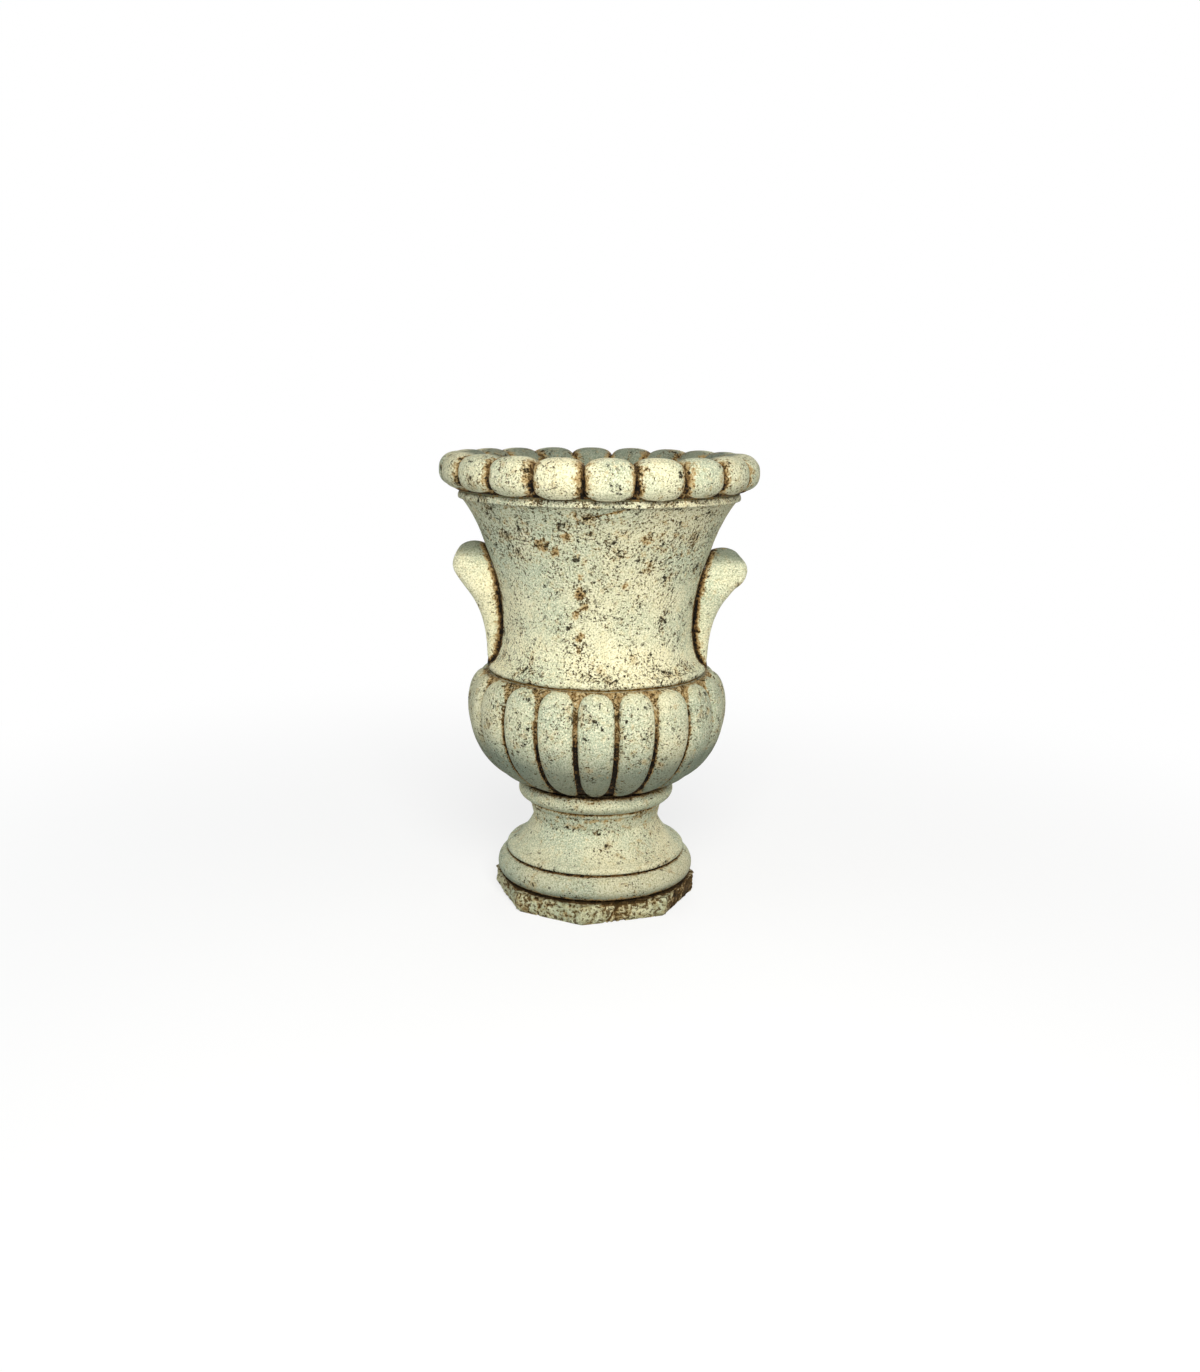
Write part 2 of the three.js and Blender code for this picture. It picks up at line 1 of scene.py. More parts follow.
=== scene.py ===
"""Campana garden urn planter of cast stone, dressed for a studio picture.

The castings are turned from half sections, shaped and weathered: each face is worn back a little and
pitted by air bubbles, and a brown patina lies in the crevices. Painted shade is laid into the colour as
well: near-black in the deepest crevices and gaps, and a grey-green on undersides, the lower bowl, the
sides and inner faces. Sizes are in metres, +Z is up, the handles stand at +X and -X and the front faces
-Y. Directions round the urn are in degrees from the front, positive to the right.
"""

import math

import bmesh
import bpy
from bpy.props import FloatProperty, FloatVectorProperty, IntProperty, PointerProperty
from mathutils import Matrix, Vector, kdtree, noise


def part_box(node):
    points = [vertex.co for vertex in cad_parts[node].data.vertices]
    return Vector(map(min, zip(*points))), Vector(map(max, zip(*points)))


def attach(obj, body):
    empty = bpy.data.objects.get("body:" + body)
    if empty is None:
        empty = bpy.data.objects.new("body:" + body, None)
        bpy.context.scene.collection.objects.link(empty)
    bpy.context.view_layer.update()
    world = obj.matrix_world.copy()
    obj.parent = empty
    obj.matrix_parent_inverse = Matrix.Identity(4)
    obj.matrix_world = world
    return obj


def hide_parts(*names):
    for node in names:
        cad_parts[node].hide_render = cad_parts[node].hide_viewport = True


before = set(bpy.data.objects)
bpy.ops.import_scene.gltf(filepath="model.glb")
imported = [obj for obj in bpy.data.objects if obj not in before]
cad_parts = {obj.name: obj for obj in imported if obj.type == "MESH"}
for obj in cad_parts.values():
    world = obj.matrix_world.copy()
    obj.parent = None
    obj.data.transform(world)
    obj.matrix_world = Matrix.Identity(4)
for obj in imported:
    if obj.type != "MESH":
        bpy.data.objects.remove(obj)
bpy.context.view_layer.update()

bl_info = {
    "name": "Cast Stone Urn Planter",
    "version": (1, 0, 0),
    "blender": (4, 5, 0),
    "location": "3D View > Sidebar > Urn",
    "description": "Builds a weathered cast stone urn planter and its studio",
    "category": "Add Mesh",
}

MM = 0.001

# --- Settings ------------------------------------------------------------------------------------


def size(name, description, millimetres):
    """A length that a user may change."""
    return FloatProperty(
        name=name, description=description, default=millimetres * MM, unit="LENGTH", precision=4
    )


def number(name, description, default):
    """A plain number that a user may change."""
    return FloatProperty(name=name, description=description, default=default)


def share(name, description, default):
    """A share from 0 to 1 that a user may change."""
    return FloatProperty(
        name=name, description=description, default=default, min=0, max=1, subtype="FACTOR"
    )


def angle(name, description, degrees):
    """An angle that a user may change."""
    return FloatProperty(
        name=name, description=description, default=math.radians(degrees), unit="ROTATION"
    )


def watts(name, description, default):
    """The power of a lamp, that a user may change."""
    return FloatProperty(name=name, description=description, default=default, unit="POWER")


def linear(channel):
    """A display value from 0 to 255 as linear light."""
    part = channel / 255
    return part / 12.92 if part <= 0.04045 else ((part + 0.055) / 1.055) ** 2.4


def colour(name, description, red, green, blue):
    """A colour that a user may change, written as display values from 0 to 255."""
    return FloatVectorProperty(
        name=name,
        description=description,
        size=3,
        subtype="COLOR",
        min=0,
        max=1,
        default=(linear(red), linear(green), linear(blue)),
    )


class UrnPlinth(bpy.types.PropertyGroup):
    radius: size("Corner radius", "Distance of the widest corners from the axis", 139.5)
    undercut: size("Undercut", "How far the faces draw in at the ground", 2.5)
    bore: size("Bore", "Radius of the hole for the tie tube", 12)
    recess: size("Recess radius", "Radius of the nut recess underneath", 30)
    recess_depth: size("Recess depth", "Depth of the nut recess underneath", 14)
    chips: size("Chips", "Depth of the chips struck off the faces", 3.2)


class UrnFoot(bpy.types.PropertyGroup):
    torus_radius: size("Torus radius", "Radius of the base torus", 133.7)
    torus_height: size("Torus height", "Height of the base torus", 30)
    torus_seat: size("Seat radius", "Radius on which the foot stands", 126.5)
    groove_radius: size("Groove radius", "Radius at the bottom of the groove", 117)
    groove_width: size("Groove width", "Width of the groove over the torus", 2.6)
    lip_radius: size("Lip radius", "Radius of the lip over the groove", 121.5)
    lip_height: size("Lip height", "Height of the lip over the groove", 9)
    neck_radius: size("Neck radius", "Radius of the scotia's neck", 85.3)
    neck_level: size("Neck level", "Height of the neck above the seat", 80)
    fillet_radius: size("Fillet radius", "Radius of the fillet under the collar", 91.5)
    fillet_height: size("Fillet height", "Height of the fillet under the collar", 9)
    collar_radius: size("Collar radius", "Radius of the collar", 105.5)
    collar_seat: size("Collar seat", "Radius of the collar's top", 99)
    collar_height: size("Collar height", "Height of the collar", 22)
    socket_radius: size("Socket radius", "Radius of the socket for the bowl", 37)
    socket_depth: size("Socket depth", "Depth of the socket for the bowl", 5.5)
    bore: size("Bore", "Radius of the hole for the tie tube", 12)


class UrnBowl(bpy.types.PropertyGroup):
    lobes: IntProperty(name="Lobes", description="Number of lobes round the bowl", default=20)
    lobe_rise: size("Lobe rise", "How far a lobe stands out of the ground", 12)
    lobe_gap: size("Lobe gap", "Width of the ground between two lobes", 4.6)
    arch_height: size("Arch height", "Height of a lobe's rounded top", 25)
    tip_drop: size("Tip drop", "Plain ground over the lobes' tips", 0.4)
    toe_height: size("Toe height", "Height of a lobe's rounded toe", 34)
    radius: size("Bowl radius", "Radius over the lobes", 174)
    toe_radius: size("Toe radius", "Radius over the lobes at the bottom", 98)
    widest_level: size("Widest level", "Height of the widest place above the seat", 104)
    shoulder_radius: size("Shoulder radius", "Radius over the lobes at the top", 158.5)
    cup_mouth: size("Cup mouth", "Radius of the cup's mouth", 124)
    cup_floor: size("Cup floor", "Radius of the cup's flat floor", 88)
    cup_bottom: size("Cup bottom", "Thickness of stone under the cup", 29.5)
    cup_corner: size("Cup corner", "Height of the cup's rounded corner", 60)
    sump_radius: size("Sump radius", "Radius of the sump round the tube", 30)
    sump_depth: size("Sump depth", "Depth of the sump round the tube", 17)
    spigot_radius: size("Spigot radius", "Radius of the spigot underneath", 36)
    spigot_height: size("Spigot height", "Height of the spigot underneath", 7)
    bore: size("Bore", "Radius of the hole for the tie tube", 12)


class UrnBell(bpy.types.PropertyGroup):
    ledge_radius: size("Ledge radius", "Radius of the ledge", 146.5)
    ledge_seat: size("Ledge seat", "Radius on which the bell stands", 143.5)
    ledge_height: size("Ledge height", "Height of the ledge", 11)
    droop: size("Droop", "How far the ledge's edge hangs over its joint", 1.8)
    waist_radius: size("Waist radius", "Radius of the waist", 128.5)
    waist_level: size("Waist level", "Height of the waist above the seat", 56)
    flare_radius: size("Flare radius", "Radius where the flare ends", 157)
    flare_level: size("Flare level", "Height where the flare ends", 186)
    cavetto_radius: size("Cavetto radius", "Radius of the cavetto under the band", 179)
    band_radius: size("Band radius", "Radius of the band", 184)
    band_height: size("Band height", "Height of the band", 9)
    bore_radius: size("Bore radius", "Radius of the narrowest place inside", 106)
    lower_spigot: size("Lower spigot", "Radius of the spigot in the bowl's mouth", 123)
    spigot_height: size("Spigot height", "Height of the spigots", 8)
    upper_spigot: size("Upper spigot", "Radius of the spigot in the rim", 151.5)
    mouth_radius: size("Mouth radius", "Radius inside the upper spigot", 142.5)
    seam: angle("Seam", "Direction of the mould seam from the front", -8.9)


class UrnRim(bpy.types.PropertyGroup):
    beads: IntProperty(name="Beads", description="Number of beads round the rim", default=20)
    turn: angle("Turn", "Direction of the first bead from the front", 3.7)
    notch: size("Notch", "Depth of the notch between two beads", 15)
    radius: size("Rim radius", "Radius over the beads", 208.0)
    bore_radius: size("Bore radius", "Radius of the rim's opening", 152.5)
    seat_radius: size("Seat radius", "Radius on which the rim lies", 185.5)


class UrnHandles(bpy.types.PropertyGroup):
    crown_level: size("Crown level", "Height of the crown's middle above the bell's seat", 151)
    reach: size("Reach", "Distance of the crown's outer face from the axis", 192.5)
    spread: size("Spread", "Half the distance between the legs at the top", 31)
    foot_spread: size("Foot spread", "Half the distance between the legs at the foot", 17)
    width: size("Bar width", "Width of the bar at the crown", 33)
    foot_width: size("Foot width", "Width of the bar at the foot", 15)
    foot_sink: size("Foot sink", "How far the legs stand into the ledge", 4)
    foot_inset: size("Foot inset", "How far the legs stand back from the ledge", 0.5)
    crown_draw: size("Crown draw", "How far the crown leans back to the bell", 6)
    bury: size("Bury", "How far the bar reaches into the bell's face", 5)
    clearance: size("Clearance", "Bedding between a handle and the bell", 0.3)
    fullest: share("Fullest", "Share of a handle's height at which it is fullest", 0.93)
    right_lower: size("Right lower", "How much lower the right handle's crown stands", 5)
    right_corner: size("Right corner", "How far the right handle's corner stands out", 4)


class UrnFixings(bpy.types.PropertyGroup):
    tube_radius: size("Tube radius", "Outer radius of the tie tube", 10.65)
    tube_bore: size("Tube bore", "Inner radius of the tie tube", 8)
    across_flats: size("Across flats", "Width of the backnuts over their flats", 30)
    nut_chamfer: size("Nut chamfer", "Chamfer of the backnuts' corners", 1.2)
    washer_radius: size("Washer radius", "Outer radius of the plate washers", 22)
    seal_radius: size("Seal radius", "Outer radius of the rubber seal", 23)
    thread_clearance: size("Clearance", "Clearance of the nuts and washers round the tube", 0.3)


class UrnWear(bpy.types.PropertyGroup):
    fine: size("Mesh width", "Distance of points on the faces that show", 1.8)
    lumps: size("Lumps", "Depth of the hand-made unevenness", 0.7)
    pit_depth: size("Pit depth", "Depth of the larger air bubbles", 1.4)
    pit_spacing: size("Pit spacing", "Distance between the larger air bubbles", 15)


class UrnColours(bpy.types.PropertyGroup):
    bright: colour("Bright stone", "Grains of cast stone that catch the light", 252, 246, 214)
    pale: colour("Pale stone", "Cleanest cast stone", 240, 233, 192)
    warm: colour("Warm stone", "Cast stone with a little patina", 230, 216, 166)
    cool: colour("Cool stone", "Cast stone with a breath of algae", 201, 210, 180)
    dull: colour("Dull stone", "Dust and weathered cement", 156, 152, 114)
    ochre: colour("Ochre", "Thin brown patina", 178, 146, 90)
    brown: colour("Brown", "Thick brown patina", 104, 74, 34)
    # Near-black patina, also used as painted shade where the deepest crevices and gaps lie in shadow.
    soot_and_shade: colour("Soot", "Patina in the deepest crevices", 25, 19, 10)
    speck: colour("Speck", "Dirt in the small pits", 76, 58, 26)
    pit: colour("Pit", "Bottom of an air bubble", 40, 33, 14)
    # Grey-green film, mostly laid as painted shade on faces turned down, the lower bowl, the sides, the
    # rim's inner faces and the handles' crowns.
    algae: colour("Algae", "Grey-green film on damp stone", 82, 97, 86)
    mortar: colour("Mortar", "Bedding mortar", 96, 74, 42)
    zinc: colour("Zinc", "Galvanised steel", 168, 172, 172)
    steel: colour("Steel", "Stainless steel", 190, 192, 194)
    rubber: colour("Rubber", "Seal rubber", 32, 32, 32)


class UrnStudio(bpy.types.PropertyGroup):
    camera_x: size("Camera X", "Camera's place along X", 4)
    camera_y: size("Camera Y", "Camera's place along Y", -1650)
    camera_z: size("Camera Z", "Camera's height", 658)
    pitch: angle("Pitch", "How far the camera looks down", 12.6)
    roll: angle("Roll", "Turn of the camera about its view", 0.75)
    lens: number("Lens", "Focal length over a 36 mm frame height", 32.93)
    key: watts("Key light", "Power of the main light", 26)
    fill: watts("Fill light", "Power of the cool light from the left", 5)
    low: watts("Low light", "Power of the low light from the right", 3)
    back: watts("Back light", "Power of the light behind the urn", 13)
    sky: number("Sky light", "Strength of the light from all round", 0.28)
    floor: size("White floor", "Distance from the axis at which the floor is plain white", 1500)


# --- Curves and half sections --------------------------------------------------------------------

SWELL_STEPS = 24
HOLLOW_STEPS = 30


def clamped(x):
    """The nearest number from 0 to 1."""
    return min(1.0, max(0.0, x))


def arch(u, power=2.0):
    """Height of a round arch over a base from -1 to 1; a power above 2 makes it squarer."""
    return max(0.0, 1 - abs(u) ** power) ** (1 / power)


def eased_step(low, high, x):
    """0 at low, 1 at high, a smooth change between and level beyond; low may lie above high."""
    t = clamped((x - low) / (high - low))
    return t * t * (3 - 2 * t)


def fade(away, reach):
    """1 at no distance, about a third at the reach and next to nothing at twice the reach."""
    return math.exp(-((away / reach) ** 2))


def trace(steps, at):
    """The points of a function of 0 to 1, without the one at 0."""
    return [at((i + 1) / steps) for i in range(steps)]


def blend(weights, knots):
    """The point (radius, height) that lies among a curve's knots by their weights."""
    return tuple(sum(w * k[i] for w, k in zip(weights, knots)) for i in (0, 1))


def swell(low, high, radius):
    """A moulding that swells to a radius between two points (radius, height)."""
    pull = (8 * radius - low[0] - high[0]) / 6
    lift = (high[1] - low[1]) * 0.15
    knots = (low, (pull, low[1] + lift), (pull, high[1] - lift), high)

    def at(t):
        s = 1 - t
        return blend((s**3, 3 * s * s * t, 3 * s * t * t, t**3), knots)

    return trace(SWELL_STEPS, at)


def hollow(low, high, power):
    """A hollow that leaves a wide low point level and climbs upright into a narrow high one."""

    def at(t):
        inward = math.sin(t * math.pi / 2)
        upward = 1 - arch(inward, power)
        return (low[0] + (high[0] - low[0]) * inward, low[1] + (high[1] - low[1]) * upward)

    return trace(HOLLOW_STEPS, at)


def quarter_fall(part, spare):
    """Fall of a curve that starts upright at 0 and has fallen by 1 at 1; less spare bends it more."""
    return (1 - arch(part / (1 + spare))) / (1 - arch(1 / (1 + spare)))


def evened(points, gap):
    """The same line with its points the given distance apart."""
    spans = [math.dist(a, b) for a, b in zip(points, points[1:])]
    count = max(1, round(sum(spans) / gap))
    step = sum(spans) / count
    line, start, k = [points[0]], 0.0, 0
    for i in range(1, count):
        while start + spans[k] < i * step:
            start += spans[k]
            k += 1
        t = (i * step - start) / spans[k]
        line.append(tuple(a + (b - a) * t for a, b in zip(points[k], points[k + 1])))
    return line + [points[-1]]


def divided(points, gap):
    """The same line with every long span divided and all its corners kept."""
    line = [points[0]]
    for a, b in zip(points, points[1:]):
        parts = max(1, math.ceil(math.dist(a, b) / gap))
        line += [tuple(p + (q - p) * i / parts for p, q in zip(a, b)) for i in range(1, parts + 1)]
    return line


def worn(points, passes=2):
    """The same line with its arrises rounded and its ends kept."""
    for _ in range(passes):
        points = (
            [points[0]]
            + [
                tuple((a + 2 * b + c) / 4 for a, b, c in zip(p, q, r))
                for p, q, r in zip(points, points[1:], points[2:])
            ]
            + [points[-1]]
        )
    return points


def radius_of(point):
    """Distance of a point from the urn's axis."""
    return math.hypot(point.x, point.y)


def azimuth(point):
    """Direction of a point in degrees from the front, positive to the right."""
    return math.degrees(math.atan2(point.x, -point.y))


def around(radius, degrees, height):
    """The point at a radius, direction and height."""
    turn = math.radians(degrees)
    return Vector((radius * math.sin(turn), -radius * math.cos(turn), height))


# --- Bodies --------------------------------------------------------------------------------------

# The patina note also holds painted shade in the darkest crevices and gaps; the note for the grey-green
# film holds mostly painted shade.
NOTES = ("bare", "patina", "damp_and_shade", "pit")
SECTORS = 20  # copies that make up a plain turned body
SLOW_LUMP, QUICK_LUMP, SLOW_PART = 0.055, 0.011, 0.65  # widths, and the wide lumps' part in the depth
INSIDE_WEAR = 0.25  # part of the wear that faces inside the urn take
BUBBLE_LEAST, BUBBLE_SPREAD = 0.12, 0.16  # radii of air bubbles as parts of their spacing
LOW_GREENING_LEVEL = (0.085, 0.03)  # heights between which the stone turns greener and darker towards the ground


def mesh_gap(coarse=1.0):
    """Distance of the points on a face: the mesh width times the given share."""
    return bpy.context.scene.urn_wear.fine * coarse * 1.0


def new_body():
    """An empty body whose points can note how bare and pitted they are, their patina and their
    grey-green film, both with painted shade.
    """
    mesh = bmesh.new()
    for name in NOTES:
        mesh.verts.layers.float.new(name)
    return mesh


def notes(mesh):
    """The layers of a body's notes, in the order of their names."""
    return [mesh.verts.layers.float[name] for name in NOTES]


def half_section(mesh, points):
    """A closed half section in a body: its points (radius, height) at the front, then its edges."""
    ring = [mesh.verts.new((0.0, -radius, height)) for radius, height in points]
    return ring + [mesh.edges.new(pair) for pair in zip(ring, ring[1:] + ring[:1])]


def spin(mesh, geometry, turn, steps, closed=False, copies=False):
    """Sweeps a part of a body round the urn's axis, or copies it round."""
    bmesh.ops.spin(
        mesh,
        geom=geometry,
        cent=(0, 0, 0),
        axis=(0, 0, 1),
        dvec=(0, 0, 0),
        angle=turn,
        steps=steps,
        use_merge=closed,
        use_duplicate=copies,
    )


def turned(outer, inner, sectors, per_sector):
    """A closed body turned from its half section: the outer line is fine and bare, the inner coarse."""
    mesh = new_body()
    bare = notes(mesh)[0]
    section = half_section(mesh, outer[:-1] + inner[:-1])
    for vert in section[: len(outer) - 1]:
        vert[bare] = 1.0
    steps = per_sector
    spin(mesh, section, math.tau / sectors, steps)
    sector = mesh.verts[:] + mesh.edges[:] + mesh.faces[:]
    spin(mesh, sector, math.tau * (sectors - 1) / sectors, sectors - 1, copies=True)
    bmesh.ops.remove_doubles(mesh, verts=mesh.verts, dist=0.01 * MM)
    bmesh.ops.recalc_face_normals(mesh, faces=mesh.faces)
    return mesh


def chance(point):
    """A repeatable value from 0 to 1 that belongs to one point."""
    wave = math.sin(point.x * 127.1 + point.y * 311.7 + point.z * 74.7) * 43758.5453
    return wave - math.floor(wave)


def waver(place, width):
    """Soft noise from 0 to 1 whose lumps have about the width given."""
    return 0.5 + 0.5 * noise.noise(place / width)


def rugged(place, width, octaves):
    """Rough noise from about 0 to 1 whose largest lumps have about the width given."""
    return 0.5 + 0.5 * noise.fractal(place / width, 0.6, 2.1, octaves)


def bubble(point, spacing, portion):
    """How deep a point lies in one of the casting's air bubbles, from 0 to 1; the portion tells
    how many of the places for a bubble have one."""
    distances, centres = noise.voronoi(point / spacing)
    luck = chance(centres[0])
    if luck > portion:
        return 0.0
    radius = BUBBLE_LEAST + BUBBLE_SPREAD * luck / portion
    return eased_step(0.0, 0.6, 1 - distances[0] / radius)


def weather(mesh, seed, stain_and_shade, lumps=1.0, portion=0.55):
    """Wears a body's faces back along their normals, and notes the patina and the grey-green film of
    every point, both with painted shade, as the given function tells them from its place and its
    normal."""
    wear = bpy.context.scene.urn_wear
    bare, patina, damp_and_shade, pit = notes(mesh)
    shift = Vector((seed * 1.37, seed * 0.71, seed * 2.13))
    mesh.normal_update()
    for vert in mesh.verts:
        place = vert.co + shift
        dirt_and_shade, wet_and_shade = stain_and_shade(vert.co, vert.normal)
        cover = INSIDE_WEAR + (1 - INSIDE_WEAR) * vert[bare]
        uneven = SLOW_PART * waver(place, SLOW_LUMP) + (1 - SLOW_PART) * waver(place, QUICK_LUMP)
        hole = bubble(place, wear.pit_spacing, portion)
        vert[patina] = clamped(dirt_and_shade)
        vert[damp_and_shade] = clamped(wet_and_shade)
        vert[pit] = hole
        vert.co -= vert.normal * cover * (wear.lumps * lumps * uneven + wear.pit_depth * hole)


def chip(mesh, place, reach, depth):
    """Knocks a small dirty dent into a body at a place in the frame."""
    patina = notes(mesh)[1]
    middle = Vector(place)
    mesh.normal_update()
    for vert in mesh.verts:
        away = (vert.co - middle).length / reach
        if away < 1.5:
            dent = eased_step(1.2, 0.3, away)
            vert[patina] = max(vert[patina], 0.85 * dent)
            vert.co -= vert.normal * depth * dent


def crevice_patina_and_shade(crevices, floor=0.0, wet_and_shade=0.0):
    """Patina of a turned body from its crevices, each (radius, height, reach, strength), near-black as
    painted shade where strongest; grey-green painted shade on faces turned down; and the stone greener
    and darker towards the ground.
    """

    def stain_and_shade(point, normal):
        radius = radius_of(point)
        low_greening = 0.4 * eased_step(*LOW_GREENING_LEVEL, point.z)
        most = floor
        for r, z, reach, strength in crevices:
            away = math.hypot(radius - r, point.z - z)
            if away < 2.5 * reach:
                most = max(most, strength * fade(away, reach))
        # Grey-green painted shade on faces turned down.
        return most, wet_and_shade + low_greening + 0.5 * eased_step(0.2, -0.8, normal.z)

    return stain_and_shade


def placed(mesh, name, node, material, sharp=50):
    """Makes a body the piece that stands for a node of the frame."""
    data = bpy.data.meshes.new(name)
    mesh.to_mesh(data)
    mesh.free()
    data.shade_smooth()
    data.set_sharp_from_angle(angle=math.radians(sharp))
    data.materials.append(material)
    piece = bpy.data.objects.new(name, data)
    bpy.context.scene.collection.objects.link(piece)
    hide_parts(node)
    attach(piece, "root")


def levels(node):
    """Lowest and highest level of a node of the frame."""
    low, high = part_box(node)
    return low.z, high.z


# --- Shader maths --------------------------------------------------------------------------------

DULL_GLOSS, FULL_GLOSS = 0.2, 0.5


class Value:
    """A number in a material; arithmetic on it adds Math nodes."""

    def __init__(self, shader, socket):
        self.shader = shader
        self.socket = socket

    def maths(self, operation, first, second):
        made = self.shader.add("ShaderNodeMath", {"operation": operation}, {0: first, 1: second})
        return Value(self.shader, made.outputs[0])

    def __add__(self, other):
        return self.maths("ADD", self, other)

    def __radd__(self, other):
        return self.maths("ADD", other, self)

    def __sub__(self, other):
        return self.maths("SUBTRACT", self, other)

    def __rsub__(self, other):
        return self.maths("SUBTRACT", other, self)

    def __mul__(self, other):
        return self.maths("MULTIPLY", self, other)

    def __rmul__(self, other):
        return self.maths("MULTIPLY", other, self)

    def rise(self, low, high):
        """0 at low, 1 at high, a smooth change between and level beyond; low may lie above high."""
        made = self.shader.add(
            "ShaderNodeMapRange",
            {"interpolation_type": "SMOOTHSTEP", "clamp": True},
            {"Value": self, "From Min": low, "From Max": high},
        )
        return Value(self.shader, made.outputs["Result"])


class Shader:
    """The nodes of one material, or of a world."""

    def __init__(self, name, world=None):
        self.owner = world or bpy.data.materials.new(name)
        self.owner.use_nodes = True
        self.tree = self.owner.node_tree
        self.tree.nodes.clear()
        if not world:
            self.place = self.add("ShaderNodeTexCoord").outputs["Object"]

    def add(self, kind, settings=None, sockets=None):
        """A node of a kind, with its settings made first and then its sockets filled or linked."""
        made = self.tree.nodes.new(kind)
        for key, value in (settings or {}).items():
            setattr(made, key, value)
        for key, value in (sockets or {}).items():
            if isinstance(value, Value):
                value = value.socket
            if isinstance(value, bpy.types.NodeSocket):
                self.tree.links.new(value, made.inputs[key])
            else:
                made.inputs[key].default_value = value
        return made

    def cloud(self, width, detail=2.0, roughness=0.5, place=None):
        """Soft noise from 0 to 1 whose clouds have about the width given."""
        grown = {"Scale": 1 / width, "Detail": detail, "Roughness": roughness}
        sockets = {"Vector": place or self.place, **grown}
        made = self.add("ShaderNodeTexNoise", {"normalize": True}, sockets)
        return Value(self, made.outputs["Fac"])

    def noted(self, name):
        """A number that the mesh holds at every point."""
        made = self.add("ShaderNodeAttribute", {"attribute_name": name})
        return Value(self, made.outputs["Fac"])

    def seen(self):
        """1 for the rays on which the background is plain white: seen, mirrored or through glass."""
        path = self.add("ShaderNodeLightPath").outputs
        rays = Value(self, path["Is Camera Ray"]) + Value(self, path["Is Glossy Ray"])
        return rays + Value(self, path["Is Transmission Ray"])

    def layered(self, bottom, *coats):
        """A colour with others laid over it in turn, each as (where it lies, its colour)."""
        base = (*bottom, 1.0)
        for part, colour in coats:
            made = self.add(
                "ShaderNodeMix",
                {"data_type": "RGBA", "clamp_factor": True},
                {0: part, 6: base, 7: (*colour, 1.0)},
            )
            base = made.outputs[2]
        return base

    def finish(self, base, roughness, height, depth, metallic=0.0):
        """Ends the material in one surface with its relief."""
        bump = self.add("ShaderNodeBump", None, {"Distance": depth, "Height": height})
        surface = self.add(
            "ShaderNodeBsdfPrincipled",
            None,
            {
                "Base Color": base,
                "Roughness": roughness,
                "Metallic": metallic,
                "Specular IOR Level": DULL_GLOSS if metallic == 0.0 else FULL_GLOSS,
                "Normal": bump.outputs["Normal"],
            },
        )
        self.add("ShaderNodeOutputMaterial", None, {"Surface": surface.outputs[0]})
        return self.owner

    def shown(self, output, lit, plain, part):
        """Ends in one surface for the light and a plain one for a part of what is seen."""
        both = self.add(
            "ShaderNodeMixShader", None, {0: part, 1: lit.outputs[0], 2: plain.outputs[0]}
        )
        self.add(output, None, {"Surface": both.outputs[0]})


# --- Finishes ------------------------------------------------------------------------------------


def cast_stone(name, pitting):
    """Sandy cast stone, speckled with small pits, with a brown patina and painted shade where the mesh
    notes them.
    """
    c = bpy.context.scene.urn_colours
    s = Shader(name)
    broad = s.cloud(0.1, 2.0)
    patch = s.cloud(0.03, 3.0, 0.6)
    mottle = s.cloud(0.0095, 3.0, 0.6)
    coarse = s.cloud(0.0028, 3.0, 0.62)
    grain = s.cloud(0.002, 2.0, 0.6)
    blotch = s.cloud(0.0105, 4.0, 0.68)
    noted = s.noted("patina")
    crowd = (patch - 0.5) * 0.34 + noted * 0.1 + noted.rise(0.02, 0.2) * 0.02 + (pitting - 1) * 0.08
    speck = (coarse + crowd).rise(0.59, 0.65)
    pit = (blotch + crowd * 0.7).rise(0.63, 0.68)
    patina = noted + (mottle - 0.5) * 1.1 + (coarse - 0.5) * 1.0
    base = s.layered(
        c.cool,
        (broad.rise(0.35, 0.65), c.pale),
        (mottle.rise(0.48, 0.7) * 0.5, c.warm),
        (grain.rise(0.5, 0.66) * 0.65, c.dull),
        (grain.rise(0.5, 0.38) * 0.8, c.bright),
        # Grey-green film, mostly painted shade where the mesh notes it.
        (s.noted("damp_and_shade") * 0.8, c.algae),
        ((patch + mottle * 0.5).rise(0.83, 0.98) * 0.4, c.ochre),
        (patina.rise(0.2, 0.5) * 0.85, c.ochre),
        (patina.rise(0.42, 0.8) * 0.92, c.brown),
        (speck * 0.93, c.speck),
        (pit * 0.96, c.pit),
        (s.noted("pit").rise(0.2, 0.9) * 0.6, c.pit),
        # Near-black where the patina is thickest: patina and painted shade in the deepest crevices and
        # gaps.
        (patina.rise(0.78, 1.02), c.soot_and_shade),
    )
    height = grain * 0.75 - coarse * 0.4 - speck * 0.4 - pit * 0.5
    return s.finish(base, 0.86 + grain * 0.1, height, 2.3 * MM)


